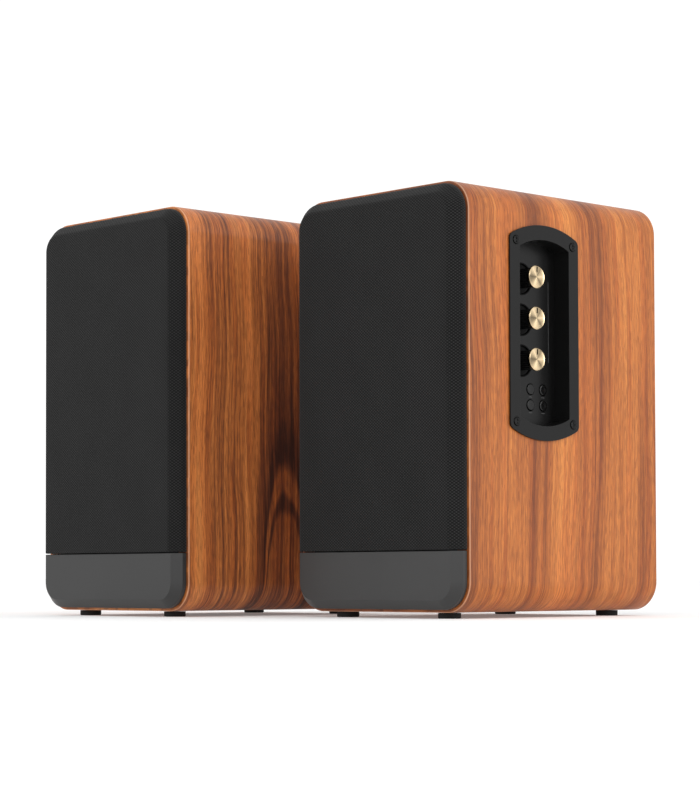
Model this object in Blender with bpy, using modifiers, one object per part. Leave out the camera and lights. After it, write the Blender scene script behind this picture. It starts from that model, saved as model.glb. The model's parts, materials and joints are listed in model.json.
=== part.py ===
"""A pair of wooden desktop speakers: an active one with its amplifier and side controls, and a passive one.

Each speaker is built in its own frame: X across, Y from the front edge of the wood towards the back,
Z up from the underside of the cabinet. An empty then places it, so that the pair stands on Z = 0.
"""

import math

import bmesh
import bpy
from mathutils import Matrix

MM = 0.001

# Clearances
GAP = 0.3 * MM
LOOSE = 0.35 * MM

# Cabinet
CABINET_WIDTH = 142 * MM
CABINET_HEIGHT = 250 * MM
CABINET_DEPTH = 167 * MM
CABINET_RADIUS = 18 * MM
CABINET_WALL = 10 * MM

# Boards at the front and the back of the cabinet
BAFFLE_RECESS = 1 * MM
BAFFLE_THICKNESS = 12 * MM
REAR_RECESS = 2 * MM
REAR_THICKNESS = 12 * MM

# Front panel: the cloth-covered grille above, the trim bar below
PANEL_RIM = 1.7 * MM
PANEL_SIDE = 3.4 * MM
GRILLE_BEVEL = 6.2 * MM
BAR_BEVEL = 5.2 * MM
SEAM_HEIGHT = 36 * MM
SEAM_GAP = 0.6 * MM
CLOTH_THICKNESS = 0.5 * MM
FRAME_WIDTH = 12.5 * MM
WINDOW_RADIUS = 24 * MM
PEG_RADIUS = 3 * MM
PEG_LENGTH = 9 * MM
PEG_INSET = 17 * MM
CUTTER_DEPTH = CABINET_DEPTH

# Woofer
WOOFER_RADIUS = 52.5 * MM
WOOFER_ABOVE_FRAME = 1.7 * MM
WOOFER_HEIGHT = SEAM_HEIGHT + SEAM_GAP / 2 + FRAME_WIDTH + WOOFER_ABOVE_FRAME + WOOFER_RADIUS
FLANGE_LAND = 7.5 * MM
WOOFER_OPENING = WOOFER_RADIUS - FLANGE_LAND
FLANGE_THICKNESS = 3 * MM
SURROUND_SPAN = 11 * MM
CONE_RADIUS = WOOFER_OPENING - SURROUND_SPAN
CONE_DEPTH = 22 * MM
CONE_THICKNESS = 1 * MM
COIL_RADIUS = 13 * MM
COIL_WALL = 1 * MM
COIL_LENGTH = 20 * MM
COIL_CLEARANCE = 0.6 * MM
DUST_CAP_RADIUS = 15 * MM
DUST_CAP_RISE = 5 * MM
SURROUND_THICKNESS = 0.8 * MM
BASKET_DEPTH = 36 * MM
BASKET_WALL = 2 * MM
BASKET_TAPER = 13 * MM
BASKET_BACK_RADIUS = WOOFER_OPENING - BASKET_TAPER
BASKET_HOLE = COIL_RADIUS + COIL_CLEARANCE + 1 * MM
MAGNET_RADIUS = 36 * MM
MAGNET_THICKNESS = 20 * MM
MAGNET_PLATE = 4 * MM
MAGNET_STEP = 3 * MM
POLE_PROUD = 2 * MM

# Tweeter
TWEETER_RADIUS = 33 * MM
DRIVER_SPACE = 8.5 * MM
TWEETER_HEIGHT = WOOFER_HEIGHT + WOOFER_RADIUS + DRIVER_SPACE + TWEETER_RADIUS
TWEETER_BODY_RADIUS = 25 * MM
TWEETER_DEPTH = 26 * MM
TWEETER_WELL = 3 * MM
HORN_THROAT = 7 * MM
HORN_MOUTH = 12 * MM
HORN_STEP = 1 * MM
DOME_RADIUS = 12.8 * MM
DOME_RISE = 6 * MM
DOME_THICKNESS = 0.9 * MM

# Bass port
PORT_ABOVE_PLATE = 24 * MM
PORT_RADIUS = 19 * MM
PORT_WALL = 2 * MM
PORT_LENGTH = 70 * MM
PORT_FLANGE = 29 * MM
PORT_FLANGE_THICKNESS = 2 * MM
PORT_FLANGE_FLAT = 3 * MM
PORT_FLANGE_EDGE = 1 * MM

# Feet
FOOT_RADIUS = 6.75 * MM
FOOT_HEIGHT = 3.5 * MM
FOOT_EDGE = 0.6 * MM
FOOT_SIDE_INSET = 28 * MM
FOOT_FRONT_INSET = 12 * MM
FOOT_REAR_INSET = 15 * MM

# Control panel in the right side of the active speaker
BEZEL_Y = 63.4 * MM
BEZEL_TOP = 228.05 * MM
BEZEL_SIDE = 8.5 * MM
BEZEL_END = 8.75 * MM
BEZEL_ARCH = 7.5 * MM
BEZEL_CORNER = 4 * MM
BEZEL_THICKNESS = 1.2 * MM
RECESS_WIDTH = 43 * MM
RECESS_TOP_SPACE = 12.6 * MM
RECESS_BOTTOM_SPACE = 9.9 * MM
RECESS_ARCH = 5 * MM
RECESS_CORNER = 1 * MM
RECESS_DEPTH = 10.5 * MM
RECESS_WALL = 2 * MM
RECESS_FLOOR = 3.5 * MM
SCREW_INSET_Y = 5.3 * MM
SCREW_INSET_Z = 10.55 * MM
SCREW_HEAD_RADIUS = 2.4 * MM
SCREW_HEAD_HEIGHT = 0.9 * MM
SCREW_RADIUS = 1.3 * MM
SCREW_LENGTH = 9 * MM
SCREW_SLOT = 0.7 * MM
SCREW_SLOT_REACH = 1.5 * MM
SCREW_SLOT_DEPTH = 0.45 * MM

# Knobs
KNOB_FORWARD = 7.4 * MM
KNOB_PITCH = 24.3 * MM
KNOB_RADIUS = 5.8 * MM
KNOB_FLUTES = 24
KNOB_FLUTE_DEPTH = 0.35 * MM
CAP_RADIUS = 6.7 * MM
CAP_THICKNESS = 2.2 * MM
CAP_PROUD = 2.2 * MM
CAP_EDGE = 0.5 * MM
CAP_HOLLOW = 0.35 * MM
CAP_MARK_WIDTH = 0.8 * MM
CAP_MARK_LENGTH = 3.2 * MM
CAP_MARK_DEPTH = 0.35 * MM
CAP_MARK_INSET = 0.75 * MM
DISH_RADIUS = 9.7 * MM
DISH_DEPTH = 1.5 * MM
SHAFT_RADIUS = 3 * MM
SHAFT_LENGTH = 5.2 * MM

# Buttons
BUTTON_BACK = 5.5 * MM
BUTTON_SPACE_Y = 2.6 * MM
BUTTON_SPACE_Z = 1 * MM
BUTTON_BELOW_DISH = 3.7 * MM
BUTTON_RADIUS = 3.2 * MM
BUTTON_PROUD = 0.7 * MM
BUTTON_TRAVEL = 0.5 * MM
BUTTON_FLANGE = 1 * MM

# Control board
BOARD_THICKNESS = 1.6 * MM
BOARD_MARGIN = 3 * MM
POT_RADIUS = 8 * MM
POT_DEPTH = 6 * MM

# Amplifier plate and what it carries
PLATE_WIDTH = 100 * MM
PLATE_HEIGHT = 118 * MM
PLATE_THICKNESS = 1.5 * MM
PLATE_Z = 80 * MM
PLATE_LIP = 6 * MM
PLATE_CORNER = 3 * MM
SOCKET_ABOVE = 38 * MM
INPUT_X = -20 * MM
LINK_X = 28 * MM
SOCKET_RADIUS = 4.2 * MM
SOCKET_BORE = 1.6 * MM
SOCKET_LENGTH = 9 * MM
SOCKET_PITCH = 13 * MM
SOCKET_BLOCK = 13 * MM
SOCKET_BACK = 10 * MM
SOCKET_ROOT = 1 * MM
INLET_X = -24 * MM
INLET_BELOW = 36 * MM
INLET_WIDTH = 24 * MM
INLET_HEIGHT = 15 * MM
INLET_DEPTH = 18 * MM
INLET_WELL_HALF = 8.5 * MM
INLET_WELL_RADIUS = 4 * MM
INLET_WELL_CORNER = 3.9 * MM
INLET_WELL_DEPTH = 12 * MM
INLET_PIN_RADIUS = 1.2 * MM
INLET_PIN_PITCH = 8.6 * MM
INLET_PIN_SHORT = 2 * MM
SWITCH_X = 24 * MM
SWITCH_BELOW = 34 * MM
SWITCH_WIDTH = 18 * MM
SWITCH_HEIGHT = 24 * MM
SWITCH_DEPTH = 16 * MM
FITTING_PROUD = 1.2 * MM
ROCKER_HALF = 8.4 * MM
ROCKER_WIDTH = 13 * MM
ROCKER_TILT = math.radians(9)
ROCKER_PIVOT = 2 * MM
ROCKER_END_RISE = 1.6 * MM
ROCKER_DIP_RISE = 0.6 * MM
ROCKER_END_THICKNESS = 2.2 * MM
ROCKER_END_DRAFT = 0.2 * MM
ROCKER_KEEL = 3 * MM
SWITCH_WELL_REACH = 9.3 * MM
SWITCH_WELL_DEPTH = 9 * MM
AMP_BOARD_WIDTH = 78 * MM
AMP_BOARD_HEIGHT = 84 * MM
AMP_BOARD_SPACE = 21 * MM
HEAT_SINK_MARGIN = 4 * MM
HEAT_SINK_HEIGHT = 10 * MM
HEAT_SINK_DEPTH = 22 * MM
CAPACITOR_RADIUS = 8 * MM
CAPACITOR_LENGTH = 25 * MM
CAPACITOR_X = 14 * MM
CAPACITOR_DROP = 6 * MM
TRANSFORMER_SIZE = 46 * MM
TRANSFORMER_SPACE = 53 * MM
TRANSFORMER_HEIGHT = 36.8 * MM
WINDING_WIDTH = 27.6 * MM
WINDING_HEIGHT = 18.4 * MM
WINDING_DEPTH = 36.8 * MM
WINDING_CORNER = 3 * MM
CROSSOVER_WIDTH = 60 * MM
CROSSOVER_DEPTH = 46 * MM
CROSSOVER_SPACE = 48 * MM
COIL_FORM_INNER = 6 * MM
COIL_FORM_OUTER = 12 * MM
COIL_FORM_HEIGHT = 14 * MM
COIL_FORM_X = -13 * MM
FILTER_CAN_RADIUS = 7 * MM
FILTER_CAN_HEIGHT = 22 * MM
FILTER_CAN_X = 14 * MM

# Where the two speakers stand: the passive one is to the left and a little forward
PASSIVE_SPACE = 40.5 * MM
PASSIVE_LEFT = CABINET_WIDTH + PASSIVE_SPACE
PASSIVE_FORWARD = 57 * MM

HALF_WIDTH = CABINET_WIDTH / 2
INNER_HALF = HALF_WIDTH - CABINET_WALL
INNER_RADIUS = CABINET_RADIUS - CABINET_WALL
BAFFLE_BACK = BAFFLE_RECESS + BAFFLE_THICKNESS
REAR_FACE = CABINET_DEPTH - REAR_RECESS
REAR_INNER = REAR_FACE - REAR_THICKNESS
GRILLE_PROUD = PANEL_SIDE + GRILLE_BEVEL
BAR_PROUD = PANEL_SIDE + BAR_BEVEL
GRILLE_BASE = SEAM_HEIGHT + SEAM_GAP / 2
CLOTH_SPACE = CLOTH_THICKNESS + GAP
FLANGE_FRONT = BAFFLE_RECESS - GAP - FLANGE_THICKNESS
FLANGE_BACK = BAFFLE_RECESS - GAP
BASKET_BACK = FLANGE_FRONT + BASKET_DEPTH + FLANGE_THICKNESS
PLATE_FRONT = REAR_FACE + GAP
PLATE_BACK = PLATE_FRONT + PLATE_THICKNESS
RECESS_FLOOR_X = HALF_WIDTH - RECESS_DEPTH
RECESS_BACK_X = RECESS_FLOOR_X - RECESS_FLOOR
DISH_X = RECESS_FLOOR_X - DISH_DEPTH
BEZEL_BACK_X = HALF_WIDTH + GAP
BEZEL_FACE_X = BEZEL_BACK_X + BEZEL_THICKNESS
SHAFT_END_X = DISH_X + GAP - SHAFT_LENGTH
POT_FACE_X = SHAFT_END_X - GAP
BOARD_FACE_X = POT_FACE_X - POT_DEPTH
BUTTON_FACE_X = RECESS_FLOOR_X + BUTTON_PROUD
BUTTON_BACK_X = RECESS_BACK_X - GAP - BUTTON_FLANGE

# From the panel's top down: knobs, buttons, and the recess and bezel that go round them
BUTTON_PITCH_Y = 2 * (BUTTON_RADIUS + BUTTON_FLANGE) + BUTTON_SPACE_Y
BUTTON_PITCH_Z = 2 * (BUTTON_RADIUS + BUTTON_FLANGE) + BUTTON_SPACE_Z
KNOB_COLUMN = 2 * DISH_RADIUS + 2 * KNOB_PITCH
BUTTON_COLUMN = 2 * BUTTON_RADIUS + BUTTON_PITCH_Z
RECESS_ENDS = RECESS_TOP_SPACE + RECESS_BOTTOM_SPACE
RECESS_HEIGHT = RECESS_ENDS + KNOB_COLUMN + BUTTON_BELOW_DISH + BUTTON_COLUMN
BEZEL_WIDTH = RECESS_WIDTH + 2 * BEZEL_SIDE
BEZEL_HEIGHT = RECESS_HEIGHT + 2 * BEZEL_END
BEZEL_Z = BEZEL_TOP - BEZEL_HEIGHT / 2
SCREW_SPACING_Y = BEZEL_WIDTH - 2 * SCREW_INSET_Y
SCREW_SPACING_Z = BEZEL_HEIGHT - 2 * SCREW_INSET_Z
KNOB_Y = BEZEL_Y - KNOB_FORWARD
KNOB_TOP_Z = BEZEL_TOP - BEZEL_END - RECESS_TOP_SPACE - DISH_RADIUS
BUTTON_Y = BEZEL_Y + BUTTON_BACK
BUTTON_TOP_Z = KNOB_TOP_Z - 2 * KNOB_PITCH - DISH_RADIUS - BUTTON_BELOW_DISH - BUTTON_RADIUS
BUTTON_Z = BUTTON_TOP_Z - BUTTON_PITCH_Z / 2

# The rear's fittings stand on the plate's middle, the port above it, the boards before the rear board
PORT_HEIGHT = PLATE_Z + PLATE_HEIGHT / 2 + PORT_ABOVE_PLATE + PORT_FLANGE
SOCKET_Z = PLATE_Z + SOCKET_ABOVE
INLET_Z = PLATE_Z - INLET_BELOW
SWITCH_Z = PLATE_Z - SWITCH_BELOW
AMP_BOARD_Y = REAR_INNER - AMP_BOARD_SPACE
TRANSFORMER_Y = REAR_INNER - TRANSFORMER_SPACE
CROSSOVER_Y = REAR_INNER - CROSSOVER_SPACE

# The pair's box: its middle is at X = Y = 0
PAIR_LEFT = -PASSIVE_LEFT - HALF_WIDTH
PAIR_RIGHT = HALF_WIDTH + CAP_PROUD
PAIR_FRONT = -PASSIVE_FORWARD - GRILLE_PROUD
PAIR_BACK = PLATE_BACK + FITTING_PROUD + SOCKET_LENGTH
ACTIVE_X = -(PAIR_LEFT + PAIR_RIGHT) / 2
ACTIVE_Y = -(PAIR_FRONT + PAIR_BACK) / 2

ROUND = 24
SMALL_ROUND = 16
TINY_ROUND = 12
CORNER_STEPS = 10
ROLL_STEPS = 6
DOME_STEPS = 5
DUST_CAP_STEPS = 3
AXIS_X = Matrix(((0, 0, 1, 0), (1, 0, 0, 0), (0, 1, 0, 0), (0, 0, 0, 1)))
AXIS_Y = Matrix(((1, 0, 0, 0), (0, 0, -1, 0), (0, 1, 0, 0), (0, 0, 0, 1)))
AXIS_Z = Matrix.Identity(4)

# name: colour, roughness, metallic
FINISHES = {
    "walnut_vinyl": ((0.55, 0.24, 0.10, 1), 0.42, 0),
    "black_board": ((0.03, 0.03, 0.03, 1), 0.70, 0),
    "grille_cloth": ((0.03, 0.03, 0.033, 1), 0.95, 0),
    "moulded_grey": ((0.085, 0.082, 0.078, 1), 0.50, 0),
    "black_plastic": ((0.02, 0.02, 0.021, 1), 0.45, 0),
    "gloss_black": ((0.015, 0.015, 0.015, 1), 0.20, 0),
    "spun_brass": ((0.80, 0.60, 0.32, 1), 0.28, 1),
    "black_steel": ((0.03, 0.03, 0.03, 1), 0.35, 1),
    "pressed_steel": ((0.10, 0.10, 0.10, 1), 0.45, 1),
    "ferrite": ((0.05, 0.05, 0.05, 1), 0.80, 0),
    "paper_cone": ((0.05, 0.05, 0.05, 1), 0.85, 0),
    "rubber": ((0.02, 0.02, 0.02, 1), 0.75, 0),
    "silk_dome": ((0.03, 0.03, 0.035, 1), 0.60, 0),
    "aluminium_plate": ((0.30, 0.30, 0.31, 1), 0.45, 1),
    "circuit_board": ((0.03, 0.16, 0.08, 1), 0.55, 0),
    "transformer_steel": ((0.25, 0.25, 0.26, 1), 0.50, 1),
}


# --- scene ---------------------------------------------------------------------------------------


def clear_scene():
    for obj in list(bpy.data.objects):
        bpy.data.objects.remove(obj, do_unlink=True)


def new_collection(name):
    collection = bpy.data.collections.new(name)
    bpy.context.scene.collection.children.link(collection)
    return collection


def new_material(name):
    colour, roughness, metallic = FINISHES[name]
    material = bpy.data.materials.new(name)
    material.use_nodes = True
    shader = material.node_tree.nodes["Principled BSDF"]
    shader.inputs["Base Color"].default_value = colour
    shader.inputs["Roughness"].default_value = roughness
    shader.inputs["Metallic"].default_value = metallic
    material.diffuse_color = colour
    return material


clear_scene()
PARTS = new_collection("desktop_speakers")
CUTTERS = new_collection("cutters")
MATERIALS = {name: new_material(name) for name in FINISHES}


# --- outlines ------------------------------------------------------------------------------------


def arc(centre, radius, start, end, steps):
    """Points on a circle's arc, angles in degrees, both ends included."""
    points = []
    for step in range(steps + 1):
        angle = math.radians(start + (end - start) * step / steps)
        points.append((centre[0] + radius * math.cos(angle), centre[1] + radius * math.sin(angle)))
    return points


def circle(centre, radius, steps=ROUND):
    return arc(centre, radius, 0, 360, steps)[:-1]


def rounded_box(left, right, bottom, top, radius, steps=CORNER_STEPS):
    points = []
    points += arc((right - radius, top - radius), radius, 0, 90, steps)
    points += arc((left + radius, top - radius), radius, 90, 180, steps)
    points += arc((left + radius, bottom + radius), radius, 180, 270, steps)
    points += arc((right - radius, bottom + radius), radius, 270, 360, steps)
    return points


def square_box(left, right, bottom, top):
    return [(right, bottom), (right, top), (left, top), (left, bottom)]


def arched_box(centre, width, height, arch, corner):
    """Straight sides, top and bottom bowed outwards by `arch`, and small rounded corners."""
    half = width / 2
    bow = (half * half + arch * arch) / (2 * arch)
    bow_centre = height / 2 - bow
    corner_y = bow_centre + math.sqrt((bow - corner) ** 2 - (half - corner) ** 2)
    meeting = math.degrees(math.atan2(corner_y - bow_centre, half - corner))
    quarter = arc((half - corner, corner_y), corner, 0, meeting, 5)
    quarter += arc((0, bow_centre), bow, meeting, 90, 8)[1:]
    upper = quarter + [(-x, y) for x, y in reversed(quarter[:-1])]
    lower = [(-x, -y) for x, y in upper]
    return [(centre[0] + x, centre[1] + y) for x, y in upper + lower]


def fluted(centre, radius, flute_depth, flutes):
    points = []
    for step in range(2 * flutes):
        angle = math.pi * step / flutes
        reach = radius - flute_depth * (step % 2)
        points.append((centre[0] + reach * math.cos(angle), centre[1] + reach * math.sin(angle)))
    return points


# --- solids --------------------------------------------------------------------------------------


def mesh_object(name, mesh):
    obj = bpy.data.objects.new(name, mesh)
    CUTTERS.objects.link(obj)
    obj.hide_render = True
    obj.display_type = "WIRE"
    return obj


def evaluated_mesh(obj):
    """The object's final mesh, welded, as a mesh of its own."""
    graph = bpy.context.evaluated_depsgraph_get()
    graph.update()
    mesh = bpy.data.meshes.new_from_object(obj.evaluated_get(graph))
    shape = bmesh.new()
    shape.from_mesh(mesh)
    bmesh.ops.remove_doubles(shape, verts=shape.verts, dist=1e-6)
    shape.to_mesh(mesh)
    shape.free()
    return mesh


def prism(name, outlines, low, high, axis):
    """Flat outlines, the inner ones being holes, filled from `low` to `high` along an axis."""
    curve = bpy.data.curves.new(name, "CURVE")
    curve.dimensions = "2D"
    curve.fill_mode = "BOTH"
    curve.extrude = (high - low) / 2
    for outline in outlines:
        spline = curve.splines.new("POLY")
        spline.points.add(len(outline) - 1)
        for point, (across, up) in zip(spline.points, outline):
            point.co = (across, up, 0, 1)
        spline.use_cyclic_u = True
    guide = mesh_object(name + "_outline", curve)
    mesh = evaluated_mesh(guide)
    bpy.data.objects.remove(guide)
    direction = -1 if axis is AXIS_Y else 1
    mesh.transform(axis @ Matrix.Translation((0, 0, direction * (low + high) / 2)))
    return mesh_object(name, mesh)


def turned(name, profile, closed=False, facing=AXIS_Y, steps=ROUND):
    """A profile of (radius, depth behind the front) turned about its axis, front end first."""
    mesh = bpy.data.meshes.new(name)
    edges = [(i, i + 1) for i in range(len(profile) - 1)]
    if closed:
        edges.append((len(profile) - 1, 0))
    mesh.from_pydata([(radius, 0, -depth) for radius, depth in profile], edges, [])
    obj = mesh_object(name, mesh)
    screw = obj.modifiers.new("turn", "SCREW")
    screw.steps = steps
    screw.render_steps = steps
    screw.use_merge_vertices = True
    screw.merge_threshold = 1e-6
    solid = evaluated_mesh(obj)
    bpy.data.objects.remove(obj)
    solid.transform(facing)
    return mesh_object(name, solid)


def moved(obj, x=0, y=0, z=0):
    obj.data.transform(Matrix.Translation((x, y, z)))
    return obj


def combine(obj, others, operation):
    """Cut the others out of an object, or join them to it."""
    for other in others:
        modifier = obj.modifiers.new(other.name, "BOOLEAN")
        modifier.operation = operation
        modifier.solver = "EXACT"
        modifier.object = other
    obj.data = evaluated_mesh(obj)
    obj.modifiers.clear()
    for other in others:
        other.name = other.name + "_tool"
    return obj


def cut(obj, *others):
    return combine(obj, others, "DIFFERENCE")


def join(obj, *others):
    return combine(obj, others, "UNION")


def finish_part(obj, name, finish, speaker, origin=(0, 0, 0), smooth=32):
    """Turns a working solid into a named sub-part with its own origin and material."""
    obj.name = name
    obj.hide_render = False
    obj.display_type = "TEXTURED"
    CUTTERS.objects.unlink(obj)
    PARTS.objects.link(obj)
    obj.data.name = name
    obj.data.transform(Matrix.Translation([-value for value in origin]))
    obj.location = origin
    obj.parent = speaker
    obj.data.materials.clear()
    obj.data.materials.append(MATERIALS[finish])
    obj.data.shade_smooth()
    obj.data.set_sharp_from_angle(angle=math.radians(smooth))
    return obj


# --- cabinet and boards --------------------------------------------------------------------------


def inner_outline(clearance):
    """The inside of the cabinet's walls, smaller by a clearance."""
    inset = CABINET_WALL + clearance
    left, right = -HALF_WIDTH + inset, HALF_WIDTH - inset
    bottom, top = inset, CABINET_HEIGHT - inset
    return rounded_box(left, right, bottom, top, INNER_RADIUS, 6)


def recess_outline(grow):
    centre = (BEZEL_Y, BEZEL_Z)
    width, height = RECESS_WIDTH + 2 * grow, RECESS_HEIGHT + 2 * grow
    return arched_box(centre, width, height, RECESS_ARCH, RECESS_CORNER + grow)


def screw_places():
    places = []
    for z_side in (1, -1):
        for y_side in (-1, 1):
            y = BEZEL_Y + y_side * SCREW_SPACING_Y / 2
            z = BEZEL_Z + z_side * SCREW_SPACING_Z / 2
            places.append((y, z))
    return places


def make_cabinet(prefix, speaker, active):
    outer = rounded_box(-HALF_WIDTH, HALF_WIDTH, 0, CABINET_HEIGHT, CABINET_RADIUS)
    cabinet = prism("cabinet", [outer, inner_outline(0)], 0, CABINET_DEPTH, AXIS_Y)
    if active:
        outside = HALF_WIDTH + CABINET_WALL
        grow = RECESS_WALL + GAP
        window = prism("side_window", [recess_outline(grow)], INNER_HALF - GAP, outside, AXIS_X)
        holes = []
        for place in screw_places():
            hole = prism("screw_hole", [circle(place, SCREW_RADIUS + GAP, TINY_ROUND)],
                         HALF_WIDTH - SCREW_LENGTH - GAP, outside, AXIS_X)
            holes.append(hole)
        cut(cabinet, window, *holes)
    finish_part(cabinet, prefix + "cabinet", "walnut_vinyl", speaker)


def peg_places():
    side = HALF_WIDTH - PEG_INSET
    high = CABINET_HEIGHT - PEG_INSET
    low = GRILLE_BASE + PEG_INSET - PANEL_RIM
    return [(-side, low), (side, low), (-side, high), (side, high)]


def make_baffle(prefix, speaker):
    holes = [circle((0, WOOFER_HEIGHT), WOOFER_OPENING + GAP)]
    holes.append(circle((0, TWEETER_HEIGHT), TWEETER_BODY_RADIUS + GAP))
    for place in peg_places():
        holes.append(circle(place, PEG_RADIUS + LOOSE, TINY_ROUND))
    baffle = prism("baffle", [inner_outline(GAP)] + holes, BAFFLE_RECESS, BAFFLE_BACK, AXIS_Y)
    finish_part(baffle, prefix + "front_baffle", "black_board", speaker)


def make_rear_board(prefix, speaker, active):
    holes = [circle((0, PORT_HEIGHT), PORT_RADIUS + PORT_WALL + GAP)]
    if active:
        half, rise = PLATE_WIDTH / 2 - PLATE_LIP, PLATE_HEIGHT / 2 - PLATE_LIP
        holes.append(square_box(-half, half, PLATE_Z - rise, PLATE_Z + rise))
    else:
        half = SOCKET_BLOCK / 2 + GAP
        holes.append(square_box(-half, half, SOCKET_Z - half, SOCKET_Z + half))
    board = prism("board", [inner_outline(GAP)] + holes, REAR_INNER, REAR_FACE, AXIS_Y)
    finish_part(board, prefix + "rear_board", "black_board", speaker)


def make_feet(prefix, speaker):
    rows = (("front", FOOT_FRONT_INSET), ("rear", CABINET_DEPTH - FOOT_REAR_INSET))
    sides = (("left", -1), ("right", 1))
    for row, y in rows:
        for side, sign in sides:
            profile = [(0, GAP), (FOOT_RADIUS, GAP), (FOOT_RADIUS, FOOT_HEIGHT - FOOT_EDGE)]
            profile += [(FOOT_RADIUS - FOOT_EDGE, FOOT_HEIGHT), (0, FOOT_HEIGHT)]
            foot = turned("foot", profile, facing=AXIS_Z)
            x = sign * (HALF_WIDTH - FOOT_SIDE_INSET)
            moved(foot, x, y)
            finish_part(foot, f"{prefix}foot_{row}_{side}", "rubber", speaker, (x, y, 0))


# --- front panel ---------------------------------------------------------------------------------


def panel_outline(inset):
    left, right = -HALF_WIDTH + inset, HALF_WIDTH - inset
    return rounded_box(left, right, inset, CABINET_HEIGHT - inset, CABINET_RADIUS - inset)


def panel_blank(proud, bevel, shrink):
    """The whole front panel, bevelled round its front edge, and smaller all over by `shrink`."""
    outline = panel_outline(PANEL_RIM + shrink)
    blank = prism("blank", [outline], -proud + shrink, -GAP, AXIS_Y)
    chamfer = bevel - (2 - math.sqrt(2)) * shrink
    front = -proud + shrink
    shape = bmesh.new()
    shape.from_mesh(blank.data)
    edges = []
    for edge in shape.edges:
        on_front = all(abs(vert.co.y - front) < 1e-6 for vert in edge.verts)
        if on_front and len(edge.link_faces) == 2:
            if any(abs(face.normal.y) < 0.5 for face in edge.link_faces):
                edges.append(edge)
    bmesh.ops.bevel(shape, geom=edges, offset=chamfer, offset_type="OFFSET", segments=1, affect="EDGES")
    bmesh.ops.remove_doubles(shape, verts=shape.verts, dist=1e-6)
    shape.to_mesh(blank.data)
    shape.free()
    return blank


def half_space(name, bottom, top):
    """A box as wide as the cabinet that removes what lies between two heights."""
    wide = CABINET_WIDTH
    return prism(name, [square_box(-wide, wide, bottom, top)], -CUTTER_DEPTH, CUTTER_DEPTH, AXIS_Y)


def make_grille(prefix, speaker):
    shrink = CLOTH_SPACE
    frame = panel_blank(GRILLE_PROUD, GRILLE_BEVEL, shrink)
    base = GRILLE_BASE + shrink
    edge = PANEL_RIM + FRAME_WIDTH
    window = rounded_box(-HALF_WIDTH + edge, HALF_WIDTH - edge, base + FRAME_WIDTH - shrink,
                         CABINET_HEIGHT - edge, WINDOW_RADIUS, 6)
    window = prism("window", [window], -CUTTER_DEPTH, CUTTER_DEPTH, AXIS_Y)
    cut(frame, half_space("below", -CABINET_HEIGHT, base), window)
    pegs = []
    for place in peg_places():
        root = -GAP - PANEL_SIDE / 2
        pegs.append(prism("peg", [circle(place, PEG_RADIUS, TINY_ROUND)], root, root + PEG_LENGTH, AXIS_Y))
    join(frame, *pegs)
    finish_part(frame, prefix + "grille_frame", "black_plastic", speaker)

    face_inset = PANEL_RIM + GRILLE_BEVEL
    outline = panel_outline(face_inset)
    cloth = prism("cloth", [outline], -GRILLE_PROUD, -GRILLE_PROUD + CLOTH_THICKNESS, AXIS_Y)
    cut(cloth, half_space("below", -CABINET_HEIGHT, GRILLE_BASE))
    finish_part(cloth, prefix + "grille_cloth", "grille_cloth", speaker)


def make_trim_bar(prefix, speaker):
    bar = panel_blank(BAR_PROUD, BAR_BEVEL, 0)
    top = SEAM_HEIGHT - SEAM_GAP / 2
    cut(bar, half_space("above", top, 2 * CABINET_HEIGHT))
    finish_part(bar, prefix + "trim_bar", "moulded_grey", speaker)


# --- woofer and tweeter --------------------------------------------------------------------------


def make_basket(prefix, speaker):
    outer, inner = WOOFER_OPENING, WOOFER_OPENING - BASKET_WALL
    back, floor = BASKET_BACK, BASKET_BACK - BASKET_WALL
    shoulder = BAFFLE_BACK / 2
    profile = [(inner, FLANGE_FRONT), (WOOFER_RADIUS, FLANGE_FRONT), (WOOFER_RADIUS, FLANGE_BACK)]
    profile += [(outer, FLANGE_BACK), (outer, shoulder), (BASKET_BACK_RADIUS, floor)]
    profile += [(BASKET_BACK_RADIUS, back), (BASKET_HOLE, back), (BASKET_HOLE, floor)]
    profile += [(BASKET_BACK_RADIUS - BASKET_WALL, floor), (inner, shoulder)]
    basket = turned("basket", profile, closed=True)
    moved(basket, z=WOOFER_HEIGHT)
    finish_part(basket, prefix + "woofer_basket", "pressed_steel", speaker, (0, 0, WOOFER_HEIGHT))


def cone_profile():
    """Front of the dust cap, out along the cone, back along its rear and round the voice coil."""
    apex = FLANGE_BACK + CONE_DEPTH
    slope = CONE_DEPTH / (CONE_RADIUS - COIL_RADIUS)
    cap_depth = apex - (DUST_CAP_RADIUS - COIL_RADIUS) * slope
    coil_inner = COIL_RADIUS - COIL_WALL
    front = []
    back = []
    for step in range(DUST_CAP_STEPS):
        angle = math.pi / 2 * step / DUST_CAP_STEPS
        depth = cap_depth - DUST_CAP_RISE * math.cos(angle)
        front.append((DUST_CAP_RADIUS * math.sin(angle), depth))
        back.append((coil_inner * math.sin(angle), depth + CONE_THICKNESS))
    profile = front + [(DUST_CAP_RADIUS, cap_depth), (CONE_RADIUS, FLANGE_BACK)]
    profile += [(CONE_RADIUS, FLANGE_BACK + CONE_THICKNESS), (COIL_RADIUS, apex + CONE_THICKNESS)]
    end = apex + COIL_LENGTH
    profile += [(COIL_RADIUS, end), (coil_inner, end), (coil_inner, cap_depth)]
    return profile + list(reversed(back))


def make_cone(prefix, speaker):
    cone = turned("cone", cone_profile())
    moved(cone, z=WOOFER_HEIGHT)
    finish_part(cone, prefix + "woofer_cone", "paper_cone", speaker, (0, 0, WOOFER_HEIGHT))


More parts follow.
